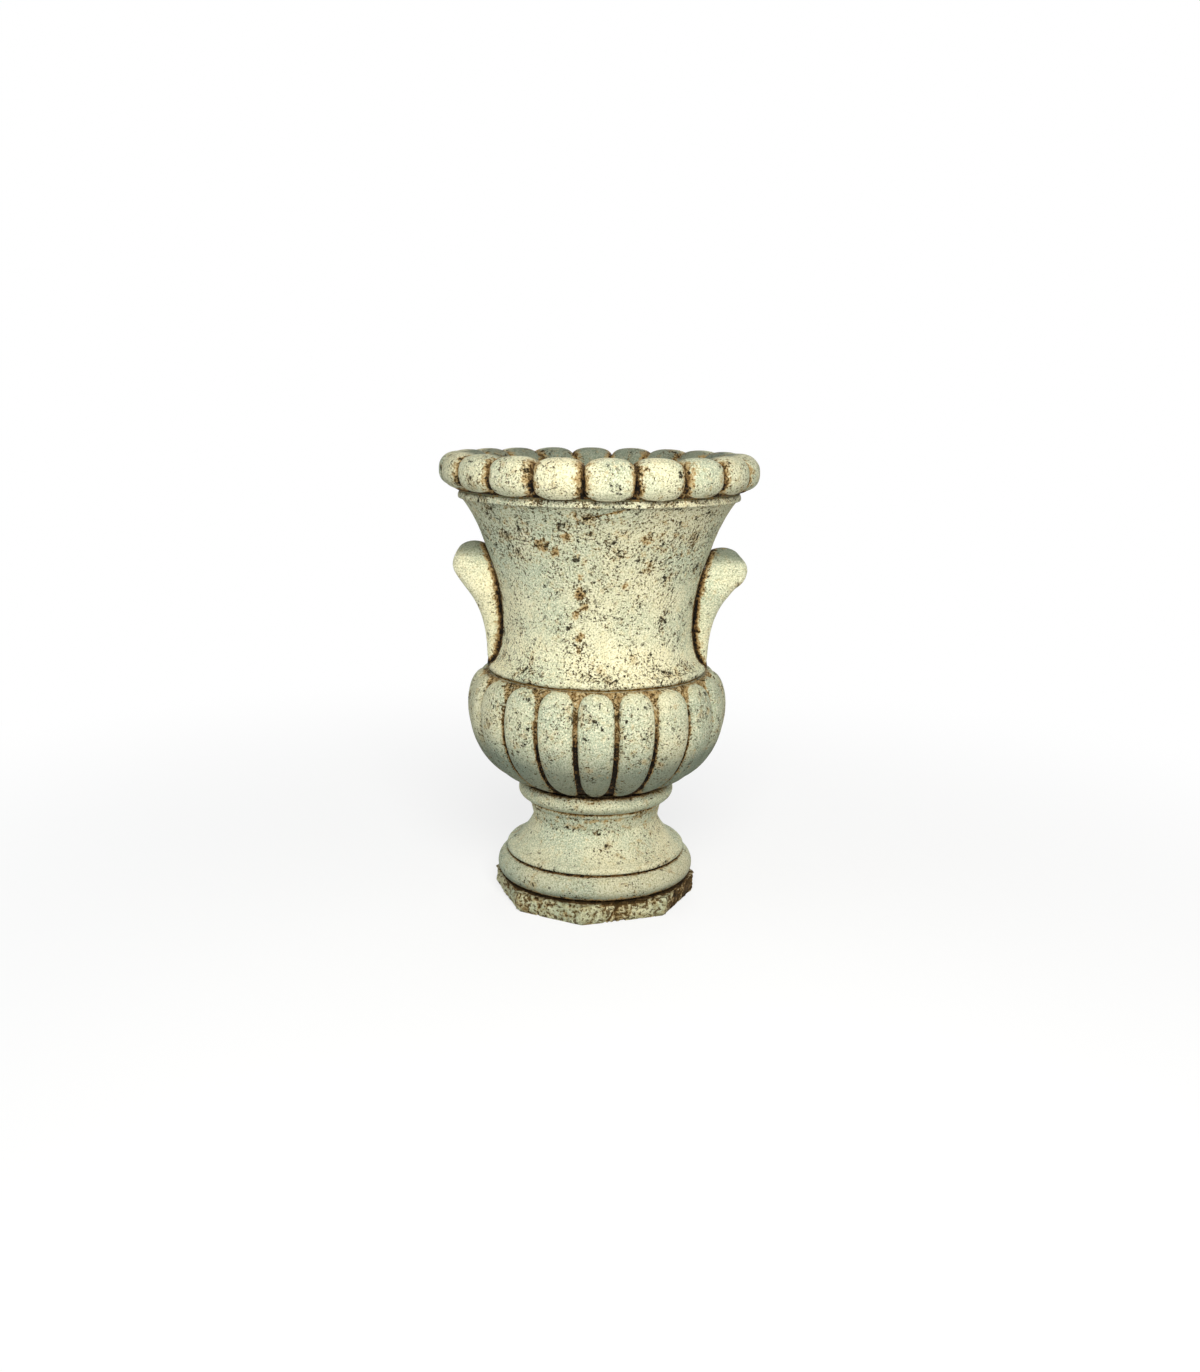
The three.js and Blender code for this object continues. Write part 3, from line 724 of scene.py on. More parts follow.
def rough_stone(name):
    """Broken faces of cast stone, dirty in their hollows, with painted shade where the mesh notes it.
    """
    c = bpy.context.scene.urn_colours
    s = Shader(name)
    broad = s.cloud(0.05, 3.0)
    patch = s.cloud(0.022, 3.0, 0.65)
    mottle = s.cloud(0.009, 4.0, 0.65)
    coarse = s.cloud(0.0044, 3.0, 0.6)
    grain = s.cloud(0.0022, 2.0, 0.6)
    noted = s.noted("patina")
    speck = (coarse + noted * 0.1 + (patch - 0.5) * 0.2).rise(0.54, 0.62)
    patina = noted + (mottle - 0.5) * 0.9 + (coarse - 0.5) * 0.9
    base = s.layered(
        c.cool,
        (broad.rise(0.3, 0.7), c.pale),
        (0.25 + mottle.rise(0.4, 0.62) * 0.6, c.dull),
        (grain.rise(0.5, 0.64) * 0.7, c.dull),
        (patina.rise(0.2, 0.6) * 0.55, c.ochre),
        (patina.rise(0.42, 0.8) * 0.92, c.brown),
        # Near-black where the patina is thickest: patina, and painted shade under the torus.
        (patina.rise(0.72, 1.0), c.soot_and_shade),
        (speck * 0.85, c.speck),
    )
    height = grain * 0.4 - coarse * 0.8 - mottle * 0.9 - speck * 0.2
    return s.finish(base, 0.9 + grain * 0.08, height, 2.8 * MM)


def bedding_mortar(name, clean):
    """Raked and weathered mortar, from 0 for sooty to 1 for ochre; above 1 dust lies on it too."""
    c = bpy.context.scene.urn_colours
    s = Shader(name)
    mottle = s.cloud(0.01, 4.0, 0.65)
    grain = s.cloud(0.002, 2.0, 0.6)
    coats = [(mottle.rise(0.4, 0.65), c.mortar), (mottle.rise(0.62, 0.42) * min(1.0, clean), c.ochre)]
    if clean > 1:
        coats.append((mottle.rise(0.4, 0.5), c.dull))
    base = s.layered(c.soot_and_shade, *coats, (grain.rise(0.45, 0.7) * 0.7, c.brown))
    return s.finish(base, 0.92 + grain * 0.06, mottle + grain, 1.0 * MM)


def galvanised(name):
    """Zinc with faint crystals and a dull bloom."""
    c = bpy.context.scene.urn_colours
    s = Shader(name)
    crystal = s.add("ShaderNodeTexVoronoi", {"feature": "F1"}, {"Vector": s.place, "Scale": 160.0})
    luck = s.add("ShaderNodeSeparateColor", None, {"Color": crystal.outputs["Color"]}).outputs[0]
    bloom = s.cloud(0.012, 4.0, 0.6)
    base = s.layered(
        c.zinc, (Value(s, luck) * 0.5, c.steel), (bloom.rise(0.55, 0.8) * 0.6, c.dull)
    )
    metallic = 1.0 - bloom.rise(0.6, 0.8) * 0.5
    return s.finish(base, 0.42 + bloom * 0.3, bloom, 0.2 * MM, metallic)


def stainless(name):
    """Drawn bar with fine marks along it."""
    c = bpy.context.scene.urn_colours
    s = Shader(name)
    stretched = s.add("ShaderNodeMapping", None, {"Vector": s.place, "Scale": (0.05, 1.0, 1.0)})
    marks = s.cloud(0.0004, 2.0, 0.6, stretched.outputs[0])
    base = s.layered(c.steel, (marks * 0.4, c.zinc))
    return s.finish(base, 0.28 + marks * 0.15, marks, 0.05 * MM, 1.0)


def seal_rubber(name):
    """Moulded rubber with a dusty surface."""
    c = bpy.context.scene.urn_colours
    s = Shader(name)
    dust = s.cloud(0.006, 4.0, 0.65)
    base = s.layered(c.rubber, (dust.rise(0.5, 0.85) * 0.25, c.dull))
    return s.finish(base, 0.7 + dust * 0.2, s.cloud(0.0008, 2.0), 0.1 * MM)


# --- Plinth --------------------------------------------------------------------------------------

PLINTH_CORNERS = (-92, -48.6, -6.8, 44, 86, 131, 176, 221)
PLINTH_CRACKS = (  # each a line of (direction, height in millimetres)
    ((-15.5, 2), (-17, 13), (-14, 29)),
    ((8, 0), (11, 10), (15, 22), (14, 29)),
    ((-37, 28), (-34, 15), (-36, 2)),
    ((27, 12), (33, 20), (32, 29)),
    ((62, 3), (66, 28)),
    ((-70, 5), (-67, 27)),
    ((112, 2), (108, 15), (112, 28)),
    ((155, 28), (151, 12), (156, 2)),
    ((-125, 27), (-121, 13), (-126, 3)),
    ((196, 4), (200, 17), (197, 28)),
)
ROUND_CORE = 0.035  # radius within which the plinth stays round
FLAKE_WIDTH, DIRTY_FLAKE = 0.026, 0.72  # flakes struck off, and the luck above which one is dirty
CRACK_WIDTH, CRACK_DEPTH = 2.2 * MM, 2.6 * MM
ARRIS_WIDTH, ARRIS_DEPTH = 0.004, 2.0 * MM
TOP_DEPTH = 1.6 * MM


def octagon_radius(degrees, corner_radius):
    """Radius of the hewn octagon's outline in one direction."""
    turn = (degrees - PLINTH_CORNERS[0]) % 360 + PLINTH_CORNERS[0]
    corners = PLINTH_CORNERS + (PLINTH_CORNERS[0] + 360,)
    low, high = next(pair for pair in zip(corners, corners[1:]) if pair[0] <= turn <= pair[1])
    half = math.radians((high - low) / 2)
    return corner_radius * math.cos(half) / math.cos(math.radians(turn - (low + high) / 2))


def scar_depth(degrees, height, radius, lines, width):
    """How near a place lies to a scratched line, from 1 on it to 0 beside it."""
    nearest = width * 3
    for line in lines:
        for (a0, h0), (a1, h1) in zip(line, line[1:]):
            x0 = math.radians((a0 - degrees + 180) % 360 - 180) * radius
            x1 = math.radians((a1 - degrees + 180) % 360 - 180) * radius
            y0, y1 = h0 * MM - height, h1 * MM - height
            dx, dy = x1 - x0, y1 - y0
            t = clamped(-(x0 * dx + y0 * dy) / (dx * dx + dy * dy))
            nearest = min(nearest, math.hypot(x0 + dx * t, y0 + dy * t))
    return fade(nearest, width)


def build_plinth(context):
    """The rock-faced octagonal plinth: turned, hewn to eight faces and chipped."""
    s = context.scene.urn_plinth
    seat = context.scene.urn_foot.torus_seat
    low, high = levels("plinth_slab")
    height = high - low
    r = s.radius
    outline = (
        (r - s.undercut, low),
        (r - s.undercut / 4, low + 0.32 * height),
        (r, low + 0.68 * height),
        (r - s.undercut / 3, high),
    )
    outer = evened(outline, mesh_gap(0.9))
    recess_top = low + s.recess_depth
    inner = divided(
        [outer[-1], (r * 0.86, high), (s.bore, high), (s.bore, recess_top)]
        + [(s.recess, recess_top), (s.recess, low), outer[0]],
        6 * MM,
    )
    mesh = turned(outer, inner, SECTORS, 25)
    bare, patina, damp_and_shade, pit = notes(mesh)
    for vert in mesh.verts:
        radius = radius_of(vert.co)
        degrees = azimuth(vert.co)
        hewn = octagon_radius(degrees, r) / r
        radius *= 1 - (1 - hewn) * clamped((radius - ROUND_CORE) / (r - ROUND_CORE))
        vert.co = around(radius, degrees, vert.co.z)
    mesh.normal_update()
    for vert in mesh.verts:
        place = vert.co
        degrees = azimuth(place)
        radius = radius_of(place)
        distances, centres = noise.voronoi(Vector((place.x, place.y, place.z * 1.3)) / FLAKE_WIDTH)
        flake = chance(centres[0])
        between = 1 - eased_step(0.0, 0.22, distances[1] - distances[0])
        crack = scar_depth(degrees, place.z, radius, PLINTH_CRACKS, CRACK_WIDTH)
        rough = rugged(place, 0.012, 4)
        depth = s.chips * (0.6 * flake + 0.5 * rough + 0.35 * waver(place, 0.0045) + 0.15 * between)
        depth += CRACK_DEPTH * crack * (0.4 + rough)
        depth += ARRIS_DEPTH * fade(min(place.z - low, high - place.z), ARRIS_WIDTH) * (0.3 + rough)
        dirt_and_shade = 0.22 + 0.7 * crack * rough + 0.12 * between + 0.26 * (flake > DIRTY_FLAKE)
        # Painted shadow of the torus: the top face near the foot's seat is darkened.
        if place.z > high - 6 * MM:
            dirt_and_shade = max(dirt_and_shade, 0.95 * fade(max(0.0, radius - seat - MM), 3 * MM))
        # Painted shade: the faces from 40 to 118 degrees to the right are darker.
        right_side_shade = eased_step(40, 62, degrees) * eased_step(118, 96, degrees)
        vert[patina] = min(1.0, dirt_and_shade + 0.42 * right_side_shade)
        vert[damp_and_shade] = 0.25 * eased_step(0.012, 0.0, place.z - low)
        vert[pit] = 0.0
        near_side = eased_step(0.75, 0.97, radius / octagon_radius(degrees, r))
        vert.co -= vert.normal * (depth if vert[bare] else TOP_DEPTH * rough * near_side)
    for vert in mesh.verts:
        if vert.co.z < low + 1.2 * MM and radius_of(vert.co) > s.recess - MM:
            vert.co.z = low
    placed(mesh, "plinth", "plinth_slab", rough_stone("Rock face"))


# --- Foot ----------------------------------------------------------------------------------------

SCOTIA_POWER = 1.43


def build_foot(context):
    """The foot: base torus, groove, lip, scotia, fillet and collar."""
    s = context.scene.urn_foot
    low, high = levels("foot_pedestal")
    lip_low = low + s.torus_height + s.groove_width
    lip_high = lip_low + s.lip_height
    collar_low = high - s.collar_height
    fillet_low = collar_low - s.fillet_height
    lip = (s.lip_radius - 2 * MM, lip_high)
    torus_top = (s.lip_radius, low + s.torus_height)
    collar_foot = (s.fillet_radius + 3 * MM, collar_low)
    outline = (
        [(s.torus_seat, low)]
        + swell((s.torus_seat, low), torus_top, s.torus_radius)
        + [(s.groove_radius, low + s.torus_height + 0.3 * MM), (s.groove_radius, lip_low - 0.3 * MM)]
        + [(s.lip_radius, lip_low), (s.lip_radius, lip_high - 2 * MM), lip]
        + hollow(lip, (s.neck_radius, low + s.neck_level), SCOTIA_POWER)
        + [(s.fillet_radius - 2.5 * MM, fillet_low), (s.fillet_radius - 0.5 * MM, fillet_low + 2 * MM)]
        + [(s.fillet_radius, fillet_low + 4 * MM), (s.fillet_radius, collar_low), collar_foot]
        + swell(collar_foot, (s.collar_seat, high), s.collar_radius)
    )
    outer = worn(evened(outline, mesh_gap(0.65)))
    inner = divided(
        [outer[-1], (s.socket_radius, high), (s.socket_radius, high - s.socket_depth)]
        + [(s.bore, high - s.socket_depth), (s.bore, low), outer[0]],
        9 * MM,
    )
    mesh = turned(outer, inner, SECTORS, 21)
    crevices = [
        (s.groove_radius + MM, lip_low - s.groove_width / 2, 3.2 * MM, 0.95),
        (s.fillet_radius + MM, collar_low, 4.5 * MM, 0.85),
        (s.neck_radius, low + s.neck_level + 2 * MM, 9 * MM, 0.2),
        (s.fillet_radius - 2 * MM, fillet_low - MM, 4 * MM, 0.34),
        # The torus's underside and the collar's top under the lobes turn near-black: patina and painted
        # shadow.
        (s.torus_seat, low, 6 * MM, 0.9),
        (s.collar_seat - 7 * MM, high, 8 * MM, 1.05),
    ]
    weather(mesh, 3, crevice_patina_and_shade(crevices, 0.04, 0.15), lumps=1.3)
    chip(mesh, around(s.collar_radius - 1.5 * MM, -2, high - 1.5 * MM), 4 * MM, 2.2 * MM)
    placed(mesh, "foot", "foot_pedestal", cast_stone("Foot stone", 0.55))


# --- Bowl ----------------------------------------------------------------------------------------

LOBE_POWER, LOBE_END_POWER = 2.7, 2.9
LOBE_SHARE = 0.7  # share of the turned points that go to a lobe, the rest to the gap beside it


def crest_radius(s, height, full):
    """Radius over the lobes' crests at a height above the bowl's seat."""
    if height <= s.widest_level:
        fall = quarter_fall((s.widest_level - height) / s.widest_level, 0.04)
        return s.radius - (s.radius - s.toe_radius) * fall
    fall = quarter_fall((height - s.widest_level) / (full - s.widest_level), 0.12)
    return s.radius - (s.radius - s.shoulder_radius) * fall


def lobe_fullness(s, height, full):
    """How full a lobe is at a height, from 0 beyond its rounded top to 1 along its body."""
    arch_base = full - s.tip_drop - s.arch_height
    if height > arch_base:
        return arch(min(1.0, (height - arch_base) / s.arch_height), LOBE_END_POWER)
    if height < s.toe_height:
        return arch(0.86 * (1 - max(0.0, height) / s.toe_height))
    return 1.0


def build_bowl(context):
    """The bowl: a turned body whose outside is drawn into lobes with rounded ends."""
    s = context.scene.urn_bowl
    bottom, high = levels("gadrooned_bowl")
    low = bottom + s.spigot_height
    full = high - low
    cup_floor = low + s.cup_bottom
    sump = cup_floor - s.sump_depth
    ground = [
        (crest_radius(s, full * i / 100, full) - s.lobe_rise, low + full * i / 100)
        for i in range(101)
    ]
    outer = evened(ground, mesh_gap(0.95))
    wall = s.cup_mouth - 2 * MM

    def corner(t):
        turn = t * math.pi / 2
        radius = wall + (s.cup_floor - wall) * (1 - math.cos(turn))
        return radius, cup_floor + s.cup_corner * (1 - math.sin(turn))

    inner = divided(
        [outer[-1], (s.cup_mouth, high), (wall, cup_floor + s.cup_corner)]
        + trace(18, corner)
        + [(s.sump_radius, cup_floor), (s.sump_radius, sump), (s.bore, sump), (s.bore, bottom)]
        + [(s.spigot_radius, bottom), (s.spigot_radius, low), outer[0]],
        7 * MM,
    )
    mesh = turned(outer, inner, s.lobes, 28)
    bare = notes(mesh)[0]
    pitch = 360 / s.lobes
    for vert in mesh.verts:
        if not vert[bare]:
            continue
        height = vert.co.z - low
        degrees = azimuth(vert.co)
        lobe = round(degrees / pitch)
        phase = 2 * (degrees / pitch - lobe)
        radius = crest_radius(s, height, full) - s.lobe_rise
        fullness = lobe_fullness(s, height, full)
        half = (pitch - math.degrees(s.lobe_gap / radius)) / 2 * max(fullness, 0.1)
        if abs(phase) < LOBE_SHARE:
            u = math.sin(phase / LOBE_SHARE * math.pi / 2)
            away = half * u
            radius += s.lobe_rise * math.sqrt(fullness) * arch(u, LOBE_POWER)
        else:
            t = (abs(phase) - LOBE_SHARE) / (1 - LOBE_SHARE)
            away = math.copysign(half + (pitch / 2 - half) * t, phase)
        vert.co = around(radius, lobe * pitch + away, vert.co.z)
    bmesh.ops.smooth_vert(
        mesh,
        verts=[v for v in mesh.verts if v[bare] and low + MM < v.co.z < high - MM],
        factor=0.35,
        use_axis_x=True,
        use_axis_y=True,
        use_axis_z=True,
    )

    def stain_and_shade(point, normal):
        radius = radius_of(point)
        height = point.z - low
        base = crest_radius(s, min(full, max(0.0, height)), full) - s.lobe_rise
        if radius < base - 2 * MM:
            return 0.15, 0.4
        part = height / full
        depth = 1 - (radius - base) / s.lobe_rise
        # Groove patina grows into near-black towards the bottom of the bowl and at the toes: painted
        # shade between the lower lobes and above the collar.
        groove = eased_step(0.42, 0.9, depth) * (0.56 + 0.75 * eased_step(0.85, 0.2, part))
        toe = (0.15 + 0.85 * depth) * fade(height, 14 * MM)
        # Grey-green painted shade: greener and darker on the lower bowl, on faces turned down and
        # towards the sides at +X and -X.
        wet_and_shade = 0.08 + 0.8 * eased_step(0.64, 0.12, part) + 0.35 * eased_step(0.1, -0.7, normal.z)
        return max(groove, toe, 0.05), wet_and_shade + 0.32 * (point.x / radius) ** 2

    weather(mesh, 7, stain_and_shade, lumps=1.2)
    placed(mesh, "bowl", "gadrooned_bowl", cast_stone("Bowl stone", 0.85))


# --- Bell ----------------------------------------------------------------------------------------

FLARE_POWER, COVE_POWER = 1.85, 1.9
BELL_FOLDS = (  # each a line of (direction, height in millimetres)
    ((-6, 211), (-1, 214), (5, 218), (12, 223)),
    ((-10, 219), (-9.2, 213), (-8.6, 205)),
)
BELL_BLOTCHES = (  # each (direction, height and reach in millimetres)
    (-9, 117, 10), (-7, 103, 7), (-11, 92, 7), (-10, 62, 8), (-10, 48, 6),
    (-27, 176, 13), (-20, 170, 8), (-15, 188, 8), (22, 186, 10), (26, 152, 9), (14, 128, 7),
)
SEAM_ARC, BLOTCH_ARC, FOLD_ARC = 0.14, 0.145, 0.165  # radii that turn directions into lengths
SEAM_HEIGHT, SEAM_WIDTH = 0.45 * MM, 1.6 * MM
FOLD_DEPTH, FOLD_WIDTH, FOLD_STAIN = 2.4 * MM, 2.2 * MM, 1.8 * MM
HANDLE_SIDE = 0.09  # no handle lies nearer to the middle than this


def flare_at(narrow, wide, part):
    """Radius of the flare between a narrow and a wide radius, at a share of its height."""
    return narrow + (wide - narrow) * part**FLARE_POWER


def bell_outline(s, low, high):
    """The bell's outer outline from its seat to the top of its band."""
    band_low = high - s.band_height
    ledge_top = (s.ledge_seat, low + s.ledge_height)
    waist = low + s.waist_level
    flare = low + s.flare_level
    rise = flare - waist
    last = band_low - flare
    slope = FLARE_POWER * (s.flare_radius - s.waist_radius) / rise
    bend = (s.flare_radius + slope * last / 2, flare + last / 2)

    def cavetto(t):
        knots = ((s.flare_radius, flare), bend, (s.cavetto_radius, band_low))
        return blend(((1 - t) ** 2, 2 * t * (1 - t), t * t), knots)

    return (
        [(s.ledge_seat, low)]
        + swell((s.ledge_seat, low), ledge_top, s.ledge_radius)
        + hollow(ledge_top, (s.waist_radius, waist), COVE_POWER)
        + trace(40, lambda t: (flare_at(s.waist_radius, s.flare_radius, t), waist + t * rise))
        + trace(16, cavetto)
        + [(s.band_radius, band_low), (s.band_radius, high - 2 * MM), (s.band_radius - 2 * MM, high)]
    )


class BellFace:
    """The bell's outer face, for what is planted on it."""

    def __init__(self, context):
        low, high = levels("bell_body")
        s = context.scene.urn_bell
        self.low = low + s.spigot_height
        self.high = high - s.spigot_height
        self.outline = bell_outline(s, self.low, self.high)

    def radius(self, level):
        """The face's radius at a level in the frame."""
        line = self.outline
        for (r0, z0), (r1, z1) in zip(line, line[1:]):
            if z0 <= level <= z1 and z1 > z0:
                return r0 + (r1 - r0) * (level - z0) / (z1 - z0)
        return line[0][0] if level < line[0][1] else line[-1][0]


def off_seam(s, point):
    """Distance of a point on the bell's face from its mould seam."""
    return abs(azimuth(point) - math.degrees(s.seam)) * math.radians(1) * SEAM_ARC


def build_bell(context):
    """The bell: ledge, cove, waist, flare, cavetto and band, hollow from end to end."""
    s = context.scene.urn_bell
    face = BellFace(context)
    low, high = face.low, face.high
    outer = worn(evened(face.outline, mesh_gap(0.95)))
    bottom, top = low - s.spigot_height, high + s.spigot_height
    waist = low + s.waist_level

    def wall(t):
        return flare_at(s.bore_radius, s.mouth_radius, 1 - t), high - t * (high - waist)

    inner = divided(
        [outer[-1], (s.upper_spigot, high), (s.upper_spigot, top), (s.mouth_radius, top)]
        + evened([(s.mouth_radius, top), (s.mouth_radius, high)] + trace(60, wall), mesh_gap(2.2))[1:]
        + [(s.bore_radius, bottom), (s.lower_spigot, bottom), (s.lower_spigot, low), outer[0]],
        5 * MM,
    )
    mesh = turned(outer, inner, SECTORS, 21)
    contact = kdtree.KDTree(len(HANDLE_CONTACT))
    for index, point in enumerate(HANDLE_CONTACT):
        contact.insert(point, index)
    contact.balance()
    rings = crevice_patina_and_shade(
        [
            (s.ledge_seat + MM, low - MM, 4.5 * MM, 0.5),
            (s.ledge_seat - 6 * MM, low + s.ledge_height + 4 * MM, 11 * MM, 0.14),
            (s.band_radius, high + 2 * MM, 4.5 * MM, 0.45),
            (s.cavetto_radius, high - s.band_height - MM, 4 * MM, 0.24),
            (s.upper_spigot, high + 3 * MM, 8 * MM, 0.8),
        ],
        0.02,
    )

    def stain_and_shade(point, normal):
        dirt_and_shade, wet_and_shade = rings(point, normal)
        if point.x * point.x + point.y * point.y < (s.waist_radius - 6 * MM) ** 2:
            return max(dirt_and_shade, 0.15), 0.35
        height = point.z - low
        dirt_and_shade = max(dirt_and_shade, 0.14 * eased_step(0.11, 0.17, height))
        # Along the handles' legs the bell is stained brown with painted shade, near-black lower down
        # where the groove lies in shadow.
        if abs(point.x) > HANDLE_SIDE:
            away = contact.find(point)[2]
            handle_edge_stain_and_shade = 1.05 - 0.3 * eased_step(0.06, 0.13, height)
            dirt_and_shade = max(dirt_and_shade, handle_edge_stain_and_shade * fade(away, 8 * MM), 0.24 * fade(away, 12 * MM))
        degrees = azimuth(point)
        dirt_and_shade = max(dirt_and_shade, 0.4 * waver(point, 0.03) * fade(off_seam(s, point), 5 * MM))
        for at, level, reach in BELL_BLOTCHES:
            away = math.hypot(math.radians(degrees - at) * BLOTCH_ARC, height - level * MM)
            if away < 2 * reach * MM:
                dirt_and_shade = max(dirt_and_shade, 0.6 * fade(away, reach * MM))
        fold = scar_depth(degrees, height, FOLD_ARC, BELL_FOLDS, FOLD_STAIN)
        return max(dirt_and_shade, 0.62 * fold), wet_and_shade

    weather(mesh, 11, stain_and_shade, lumps=1.6, portion=0.75)
    mesh.normal_update()
    bare = notes(mesh)[0]
    for vert in mesh.verts:
        if not vert[bare]:
            continue
        height = vert.co.z - low
        ridge = SEAM_HEIGHT * fade(off_seam(s, vert.co), SEAM_WIDTH) * (20 * MM < height < 200 * MM)
        fold = scar_depth(azimuth(vert.co), height, FOLD_ARC, BELL_FOLDS, FOLD_WIDTH)
        vert.co += vert.normal * (ridge - FOLD_DEPTH * fold)
        lip = eased_step(s.ledge_seat, s.ledge_seat + 1.2 * MM, radius_of(vert.co))
        if height < s.ledge_height and lip > 0:
            wave = 0.8 + 0.7 * noise.noise(vert.co / 0.02)
            vert.co.z -= s.droop * wave * lip * (1 - height / s.ledge_height)
    placed(mesh, "bell", "bell_body", cast_stone("Bell stone", 1.1))


# --- Rim -----------------------------------------------------------------------------------------

ROLL_POWER, BEAD_POWER = 2.4, 2.5
ROLL_TURNS = (-74, 150)  # degrees about the roll's middle between which its face is bare
ROLL_LENGTH = 0.17  # length of that face
FRONT_DROP, SIDE_DROP = 5.0 * MM, -2.5 * MM  # how far the beads hang below the seat
HALF_BEAD = 32 * MM  # half of a bead's width at the roll's outside


def roll_point(s, low, height, turn, notch, hang=0.0):
    """A point (radius, height) of the rim's roll at a turn about its section's middle, where the
    beads hang by the given length below the seat."""
    half = (s.radius - s.bore_radius) / 2
    across, upward = math.cos(turn), math.sin(turn)
    square = (abs(across) ** ROLL_POWER + abs(upward) ** ROLL_POWER) ** (-1 / ROLL_POWER)
    middle = height / 2
    radius = s.bore_radius + half + (half - notch) * square * across
    drop = hang * eased_step(s.seat_radius + MM, s.seat_radius + 9 * MM, radius) * (upward < 0)
    return radius, low + middle + (middle - notch * abs(upward)) * square * upward + drop * upward


def build_rim(context):
    """The rim: one closed roll drawn into rounded beads."""
    s = context.scene.urn_rim
    low, high = levels("rim_ring")
    height = high - low
    first, last = (math.radians(turn) for turn in ROLL_TURNS)
    count = round(ROLL_LENGTH / mesh_gap(0.95))
    turns = [first + (last - first) * i / count for i in range(count + 1)]
    outer = [(s.seat_radius, low)] + [roll_point(s, low, height, turn, 0.0) for turn in turns]
    inner = divided([outer[-1], (s.bore_radius, low), outer[0]], 4 * MM)
    mesh = turned(outer, inner, s.beads, 30)
    bare = notes(mesh)[0]
    pitch = 360 / s.beads
    half = (s.radius - s.bore_radius) / 2
    middle = height / 2
    for vert in mesh.verts:
        radius = radius_of(vert.co)
        degrees = azimuth(vert.co)
        bead = round(degrees / pitch)
        u = math.sin((degrees / pitch - bead) * math.pi)
        fullness = arch(u, BEAD_POWER)
        luck = chance(Vector((bead % s.beads, 4.0, 2.0)))
        above = vert.co.z - low
        if vert[bare] and radius > s.seat_radius - 40 * MM:
            if above > 0.1 * MM or radius > s.seat_radius + MM:
                turn = math.atan2((above - middle) / middle, (radius - s.bore_radius - half) / half)
                facing = math.cos(math.radians(degrees)) ** 2
                hang = SIDE_DROP + (FRONT_DROP - SIDE_DROP) * facing
                notch = s.notch * (1 - fullness) + 0.5 * MM * luck * fullness
                radius, vert.co.z = roll_point(s, low, height, turn, notch, hang)
        vert.co = around(radius, bead * pitch + u * pitch / 2 + math.degrees(s.turn), vert.co.z)

    def stain_and_shade(point, normal):
        phase = 2 * ((azimuth(point) - math.degrees(s.turn)) / pitch)
        away = (1 - abs(phase - 2 * round(phase / 2))) * HALF_BEAD
        radius = radius_of(point)
        # The notches' stain turns near-black towards their bottoms: patina and painted shadow between
        # the beads.
        notch_stain_and_shade = 0.86 + 0.5 * eased_step(low + 26 * MM, low + 6 * MM, point.z)
        groove = max(notch_stain_and_shade * fade(away, 4.6 * MM), 0.56 * fade(away, 11 * MM))
        seat = 0.95 * fade(point.z - low, 6 * MM) * (radius < s.seat_radius + 9 * MM)
        # Grey-green painted shade on the beads' inner faces, on faces turned down and towards the sides
        # at +X and -X.
        within = eased_step(s.bore_radius + 34 * MM, s.bore_radius + 16 * MM, radius)
        wet_and_shade = 0.8 * within + 0.35 * eased_step(0.1, -0.8, normal.z) + 0.24 * (point.x / radius) ** 2
        return max(groove, seat, 0.1 * within, 0.04), wet_and_shade

    weather(mesh, 17, stain_and_shade)
    placed(mesh, "rim", "rim_ring", cast_stone("Rim stone", 0.78))


# --- Handles -------------------------------------------------------------------------------------

HANDLE_CONTACT = []  # points of the line where the handles meet the bell
ARCH_START = 0.72  # share of a handle's height at which its legs bend into the arch
SWELL_POWER, SPREAD_POWER, LEAN_POWER = 2.8, 1.3, 4
LEFT_CHIP = (-0.172, -0.046, 0.443)


def handle_stations(s, face, steps, side):
    """Places along one leg from its foot to the crown: (level, offset, reach, width)."""
    bell = bpy.context.scene.urn_bell
    foot = bell.ledge_height - s.foot_sink
    climb = s.crown_level - (s.right_lower if side > 0 else 0) - foot
    foot_reach = bell.ledge_radius - s.foot_inset
    corner = 0 if side < 0 else s.right_corner

    def station(rise, offset, crown):
        part = min(1.0, rise / s.fullest)
        reach = foot_reach + (s.reach - foot_reach) * part**SWELL_POWER - s.crown_draw * crown
        reach += corner * fade(rise - s.fullest, 0.05)
        width = s.foot_width + (s.width - s.foot_width) * part
        return (face.low + foot + rise * climb, offset, reach, width)

    leg = []
    for i in range(steps):
        offset = s.foot_spread + (s.spread - s.foot_spread) * (i / steps) ** SPREAD_POWER
        leg.append(station(ARCH_START * i / steps, offset, 0.0))
    for i in range(steps + 1):
        turn = i / steps * math.pi / 2
        rise = ARCH_START + (1 - ARCH_START) * math.sin(turn)
        leg.append(station(rise, s.spread * math.cos(turn), math.sin(turn) ** LEAN_POWER))
    return leg


